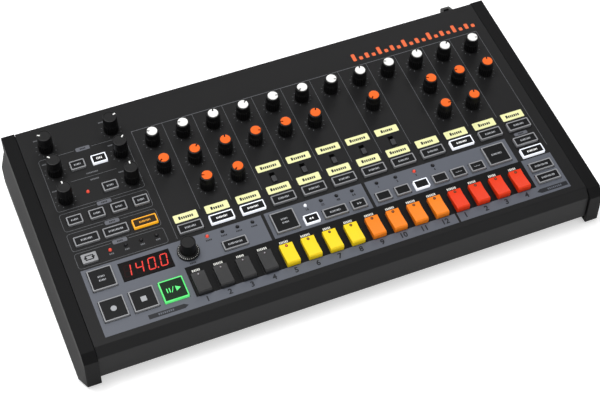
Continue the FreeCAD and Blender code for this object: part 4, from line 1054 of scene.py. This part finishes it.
# CAD pieces that show as they are
plainNodes = {"top_panel": panelPaint, "bottom_tray": trayPaint, "rear_panel": trayPaint,
              "key_bed": socketBlack, "control_board": boardGreen, "jack_board": boardGreen,
              "potentiometers": nickel, "switch_housings": socketBlack, "midi_sockets": socketBlack,
              "power_and_data_sockets": socketBlack, "case_screws": screwBlack}
for node, material in plainNodes.items():
    mesh = frame["nodes"][node].data
    mesh.materials.clear()
    mesh.materials.append(material)
print("case dressed")

# Place, aim, size in metres and watts of each lamp; ambient is the light of the white room
lights = {"key": ((-0.5, 0.3, 1.9), (0, 0, 0), (0.9, 0.7), 24),
          "rim": ((1.1, 1.7, 1.5), (0.15, 0.1, 0), (1.0, 0.6), 9),
          "fill": ((-1.3, -0.9, 1.2), (0, 0, 0), (1.2, 1.2), 0.9),
          "front": ((0.43, -1.4, 1.06), (0, -0.1, 0.03), (1.8, 0.4), 6)}
ambient = 0.42
look = {"place": (-341.41, -833.04, 1075.23), "turn": (39.7596, -0.1525, -22.2424), "lens": 90.09,
        "sensor": 36}


def eitherRay(holder, first, second):
    # 1 where a ray is of one of two kinds
    rays = addNode(holder, "ShaderNodeLightPath")
    return addNode(holder, "ShaderNodeMath", {0: rays.outputs[first], 1: rays.outputs[second]},
                   operation="MAXIMUM")

def makeFloor():
    bm = bmesh.new()
    bmesh.ops.create_grid(bm, x_segments=1, y_segments=1, size=6.0)
    mesh = kept(bm, "floor")
    material = blank("paper_white_sweep")
    seen = eitherRay(material, "Is Camera Ray", "Is Glossy Ray")
    lift = addNode(material, "ShaderNodeMath", {0: seen.outputs[0], 1: ambient}, operation="MULTIPLY")
    finish(material, addNode(material, "ShaderNodeBsdfPrincipled", {
        "Base Color": linear("#f2f2f2"), "Roughness": 0.9, "Specular IOR Level": 0.0,
        "Emission Color": linear("#ffffff"), "Emission Strength": lift.outputs[0]}))
    mesh.materials.append(material)
    floor = bpy.data.objects.new("floor", mesh)
    bpy.context.scene.collection.objects.link(floor)


def makeWorld():
    world = bpy.data.worlds.new("studio")
    bpy.context.scene.world = world
    world.use_nodes = True
    world.node_tree.nodes.clear()
    seen = eitherRay(world, "Is Camera Ray", "Is Transmission Ray")
    level = addNode(world, "ShaderNodeMix", {"Factor": seen.outputs[0], "A": ambient, "B": 1.0},
                    data_type="FLOAT")
    back = addNode(world, "ShaderNodeBackground", {"Color": (1, 1, 1, 1), "Strength": level.outputs[0]})
    addNode(world, "ShaderNodeOutputWorld", {"Surface": back.outputs[0]})


def makeLight(name, place, aim, size, watts):
    light = bpy.data.lights.new(name, "AREA")
    light.shape = "RECTANGLE"
    light.size = size[0]
    light.size_y = size[1]
    light.energy = watts
    item = bpy.data.objects.new(name, light)
    item.location = place
    item.rotation_euler = (Vector(aim) - Vector(place)).to_track_quat("-Z", "Y").to_euler()
    bpy.context.scene.collection.objects.link(item)


def makeCamera():
    data = bpy.data.cameras.new("camera")
    data.lens = look["lens"]
    data.sensor_width = look["sensor"]
    data.clip_start = 0.05
    data.clip_end = 50
    item = bpy.data.objects.new("camera", data)
    item.location = [c / 1000 for c in look["place"]]
    item.rotation_euler = [math.radians(a) for a in look["turn"]]
    bpy.context.scene.collection.objects.link(item)
    bpy.context.scene.camera = item


makeFloor()
makeWorld()
for name, values in lights.items():
    makeLight(name, *values)
makeCamera()
bpy.context.scene.view_settings.view_transform = "Standard"
print("stage made")
